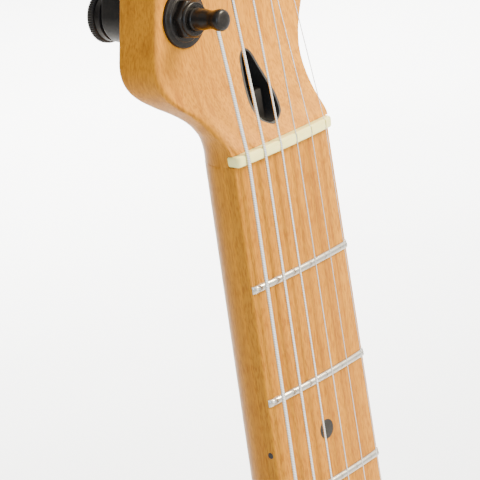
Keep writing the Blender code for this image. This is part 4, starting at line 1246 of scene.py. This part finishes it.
def build_trim():
    turn = Matrix.Translation(Vector((160.2, 32.0, -712.0)) * MM) @ Matrix.Rotation(math.pi / 2, 4, "Y")
    profile = [(9.9, 3.15), (13.8, 3.15), (14.5, 2.7), (14.5, 1.0), (13.6, 0.3), (11.0, 0.2), (11.0, -29.0),
               (5.2, -30.0),
               (5.2, -41.5), (3.3, -41.5), (3.3, -14.0), (4.0, -13.5), (9.3, -13.4), (9.5, -13.0),
               (9.5, 2.7), (9.9, 3.15)]
    jack = turned("output_jack_cup", profile, LOOKS["black"], turn, 64)
    settle(jack, "root", "black_metal", "output_jack")
    for name, spot, out in (("horn", (-123.375, 31.75, -336.6875), 1), ("tail", (0.0, 31.75, -798.125), -1)):
        local = place(*spot) @ (Matrix.Identity(4) if out > 0 else Matrix.Rotation(math.pi, 4, "X"))
        profile = [(0.0, 13.3), (1.6, 13.35), (2.6, 13.6), (3.4, 13.98), (5.4, 13.9), (6.3, 13.3),
                   (6.6, 12.5),
                   (6.2, 11.6), (4.6, 10.2), (3.5, 8.6), (3.4, 5.6), (4.2, 3.4), (6.2, 1.9), (7.0, 1.2),
                   (7.0, 0.1),
                   (2.0, 0.0), (2.0, -4.0), (0.0, -4.0)]
        button = turned(f"strap_button_{name}_peg", rounded(profile, 0.4, 2), LOOKS["black"], local, 48)
        settle(button, "root", "black_metal", f"strap_button_{name}")


# ---- build everything --------------------------------------------------------------------
build_neck()
build_fingerboard()
build_frets()
build_nut()
build_strings()
build_string_tree()
for tuner_index in range(6):
    build_tuner(tuner_index)
build_body()
build_pickguard()
for pickup_name, pickup_z in PICKUPS:
    build_pickup(pickup_name, pickup_z)
for knob_name, (knob_x, knob_z) in KNOBS:
    build_knob(knob_name, knob_x, knob_z)
build_selector()
build_bridge()
build_neck_plate()
build_trim()


# ---- floor, light and camera ---------------------------------------------------------------
def build_stage():
    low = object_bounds()[0][2] / MM
    bm = bmesh.new()
    rings = []
    for reach in (30000.0, 3000.0, 400.0):
        rings.append([(reach * math.cos(math.tau * i / 64), reach * math.sin(math.tau * i / 64), low)
                      for i in range(64)])
    skin(bm, rings, caps=False)
    bm.faces.new([bm.verts.new((400.0 * math.cos(math.tau * i / 64), 400.0 * math.sin(math.tau * i / 64),
                                low))
                  for i in range(64)])
    bmesh.ops.remove_doubles(bm, verts=bm.verts, dist=0.01)
    look = Look("pale_floor", (0.80, 0.80, 0.79), 0.8)
    cloud = look.noise(look.place((2, 2, 2)), 1.0, 2.0)
    look.colour(look.ramp(cloud, [(0.3, (0.78, 0.78, 0.77)), (0.7, (0.82, 0.82, 0.81))]))
    add_object("floor", bm, look.made)


def area_light(name, spot, aim, size, power, colour=(1, 1, 1)):
    lamp = bpy.data.lights.new(name, "AREA")
    lamp.shape = "DISK"
    lamp.size = size
    lamp.energy = power
    lamp.color = colour
    made = bpy.data.objects.new(name, lamp)
    bpy.context.scene.collection.objects.link(made)
    made.location = spot
    made.rotation_euler = (Vector(aim) - Vector(spot)).to_track_quat("-Z", "Y").to_euler()
    return made


ROOM_BRIGHT_SIDE = (0.76, -0.46, 0.46)
ROOM_LOW = 0.05
ROOM_HIGH = 2.3


def build_world():
    """A pale room, brighter towards the front, the right and the top."""
    world = bpy.data.worlds.new("pale_room")
    bpy.context.scene.world = world
    world.use_nodes = True
    nodes, links = world.node_tree.nodes, world.node_tree.links
    where = nodes.new("ShaderNodeTexCoord")
    facing = nodes.new("ShaderNodeVectorMath")
    facing.operation = "DOT_PRODUCT"
    facing.inputs[1].default_value = ROOM_BRIGHT_SIDE
    level = nodes.new("ShaderNodeMapRange")
    level.inputs["From Min"].default_value = -1.0
    level.inputs["To Min"].default_value = ROOM_LOW
    level.inputs["To Max"].default_value = ROOM_HIGH
    links.new(where.outputs["Generated"], facing.inputs[0])
    links.new(facing.outputs["Value"], level.inputs["Value"])
    links.new(level.outputs["Result"], nodes["Background"].inputs["Strength"])
    nodes["Background"].inputs["Color"].default_value = (1.0, 0.97, 0.90, 1)


build_stage()
build_world()
area_light("key", (0.62, -0.80, 0.80), (0, 0, 0.03), 0.5, 52, (1.0, 0.90, 0.68))
area_light("cool_fill", (-1.3, -1.1, 0.3), (0, 0, 0.03), 0.8, 12, (0.45, 0.70, 1.0))
area_light("far_floor", (2.6, 2.6, 1.3), (2.6, 2.6, -0.8), 2.6, 620)
area_light("body_fill", (0.3, -2.2, 0.1), (0, 0, -0.55), 1.4, 16)

VIEW_FROM = (-0.5325, -0.4772, 0.1917)
VIEW_RIGHT = Vector((0.64381555, -0.75086554, -0.14731761))
VIEW_UP = Vector((0.31467855, 0.08432157, 0.94544555))
camera_data = bpy.data.cameras.new("photo_view")
camera_data.lens = 195.0
camera_data.sensor_width = 36.0
camera_data.clip_start = 0.05
camera_data.clip_end = 100.0
camera = bpy.data.objects.new("photo_view", camera_data)
bpy.context.scene.collection.objects.link(camera)
turn_rows = Matrix((VIEW_RIGHT, VIEW_UP, VIEW_RIGHT.cross(VIEW_UP))).transposed()
camera.matrix_world = Matrix.Translation(VIEW_FROM) @ turn_rows.to_4x4()
bpy.context.scene.camera = camera
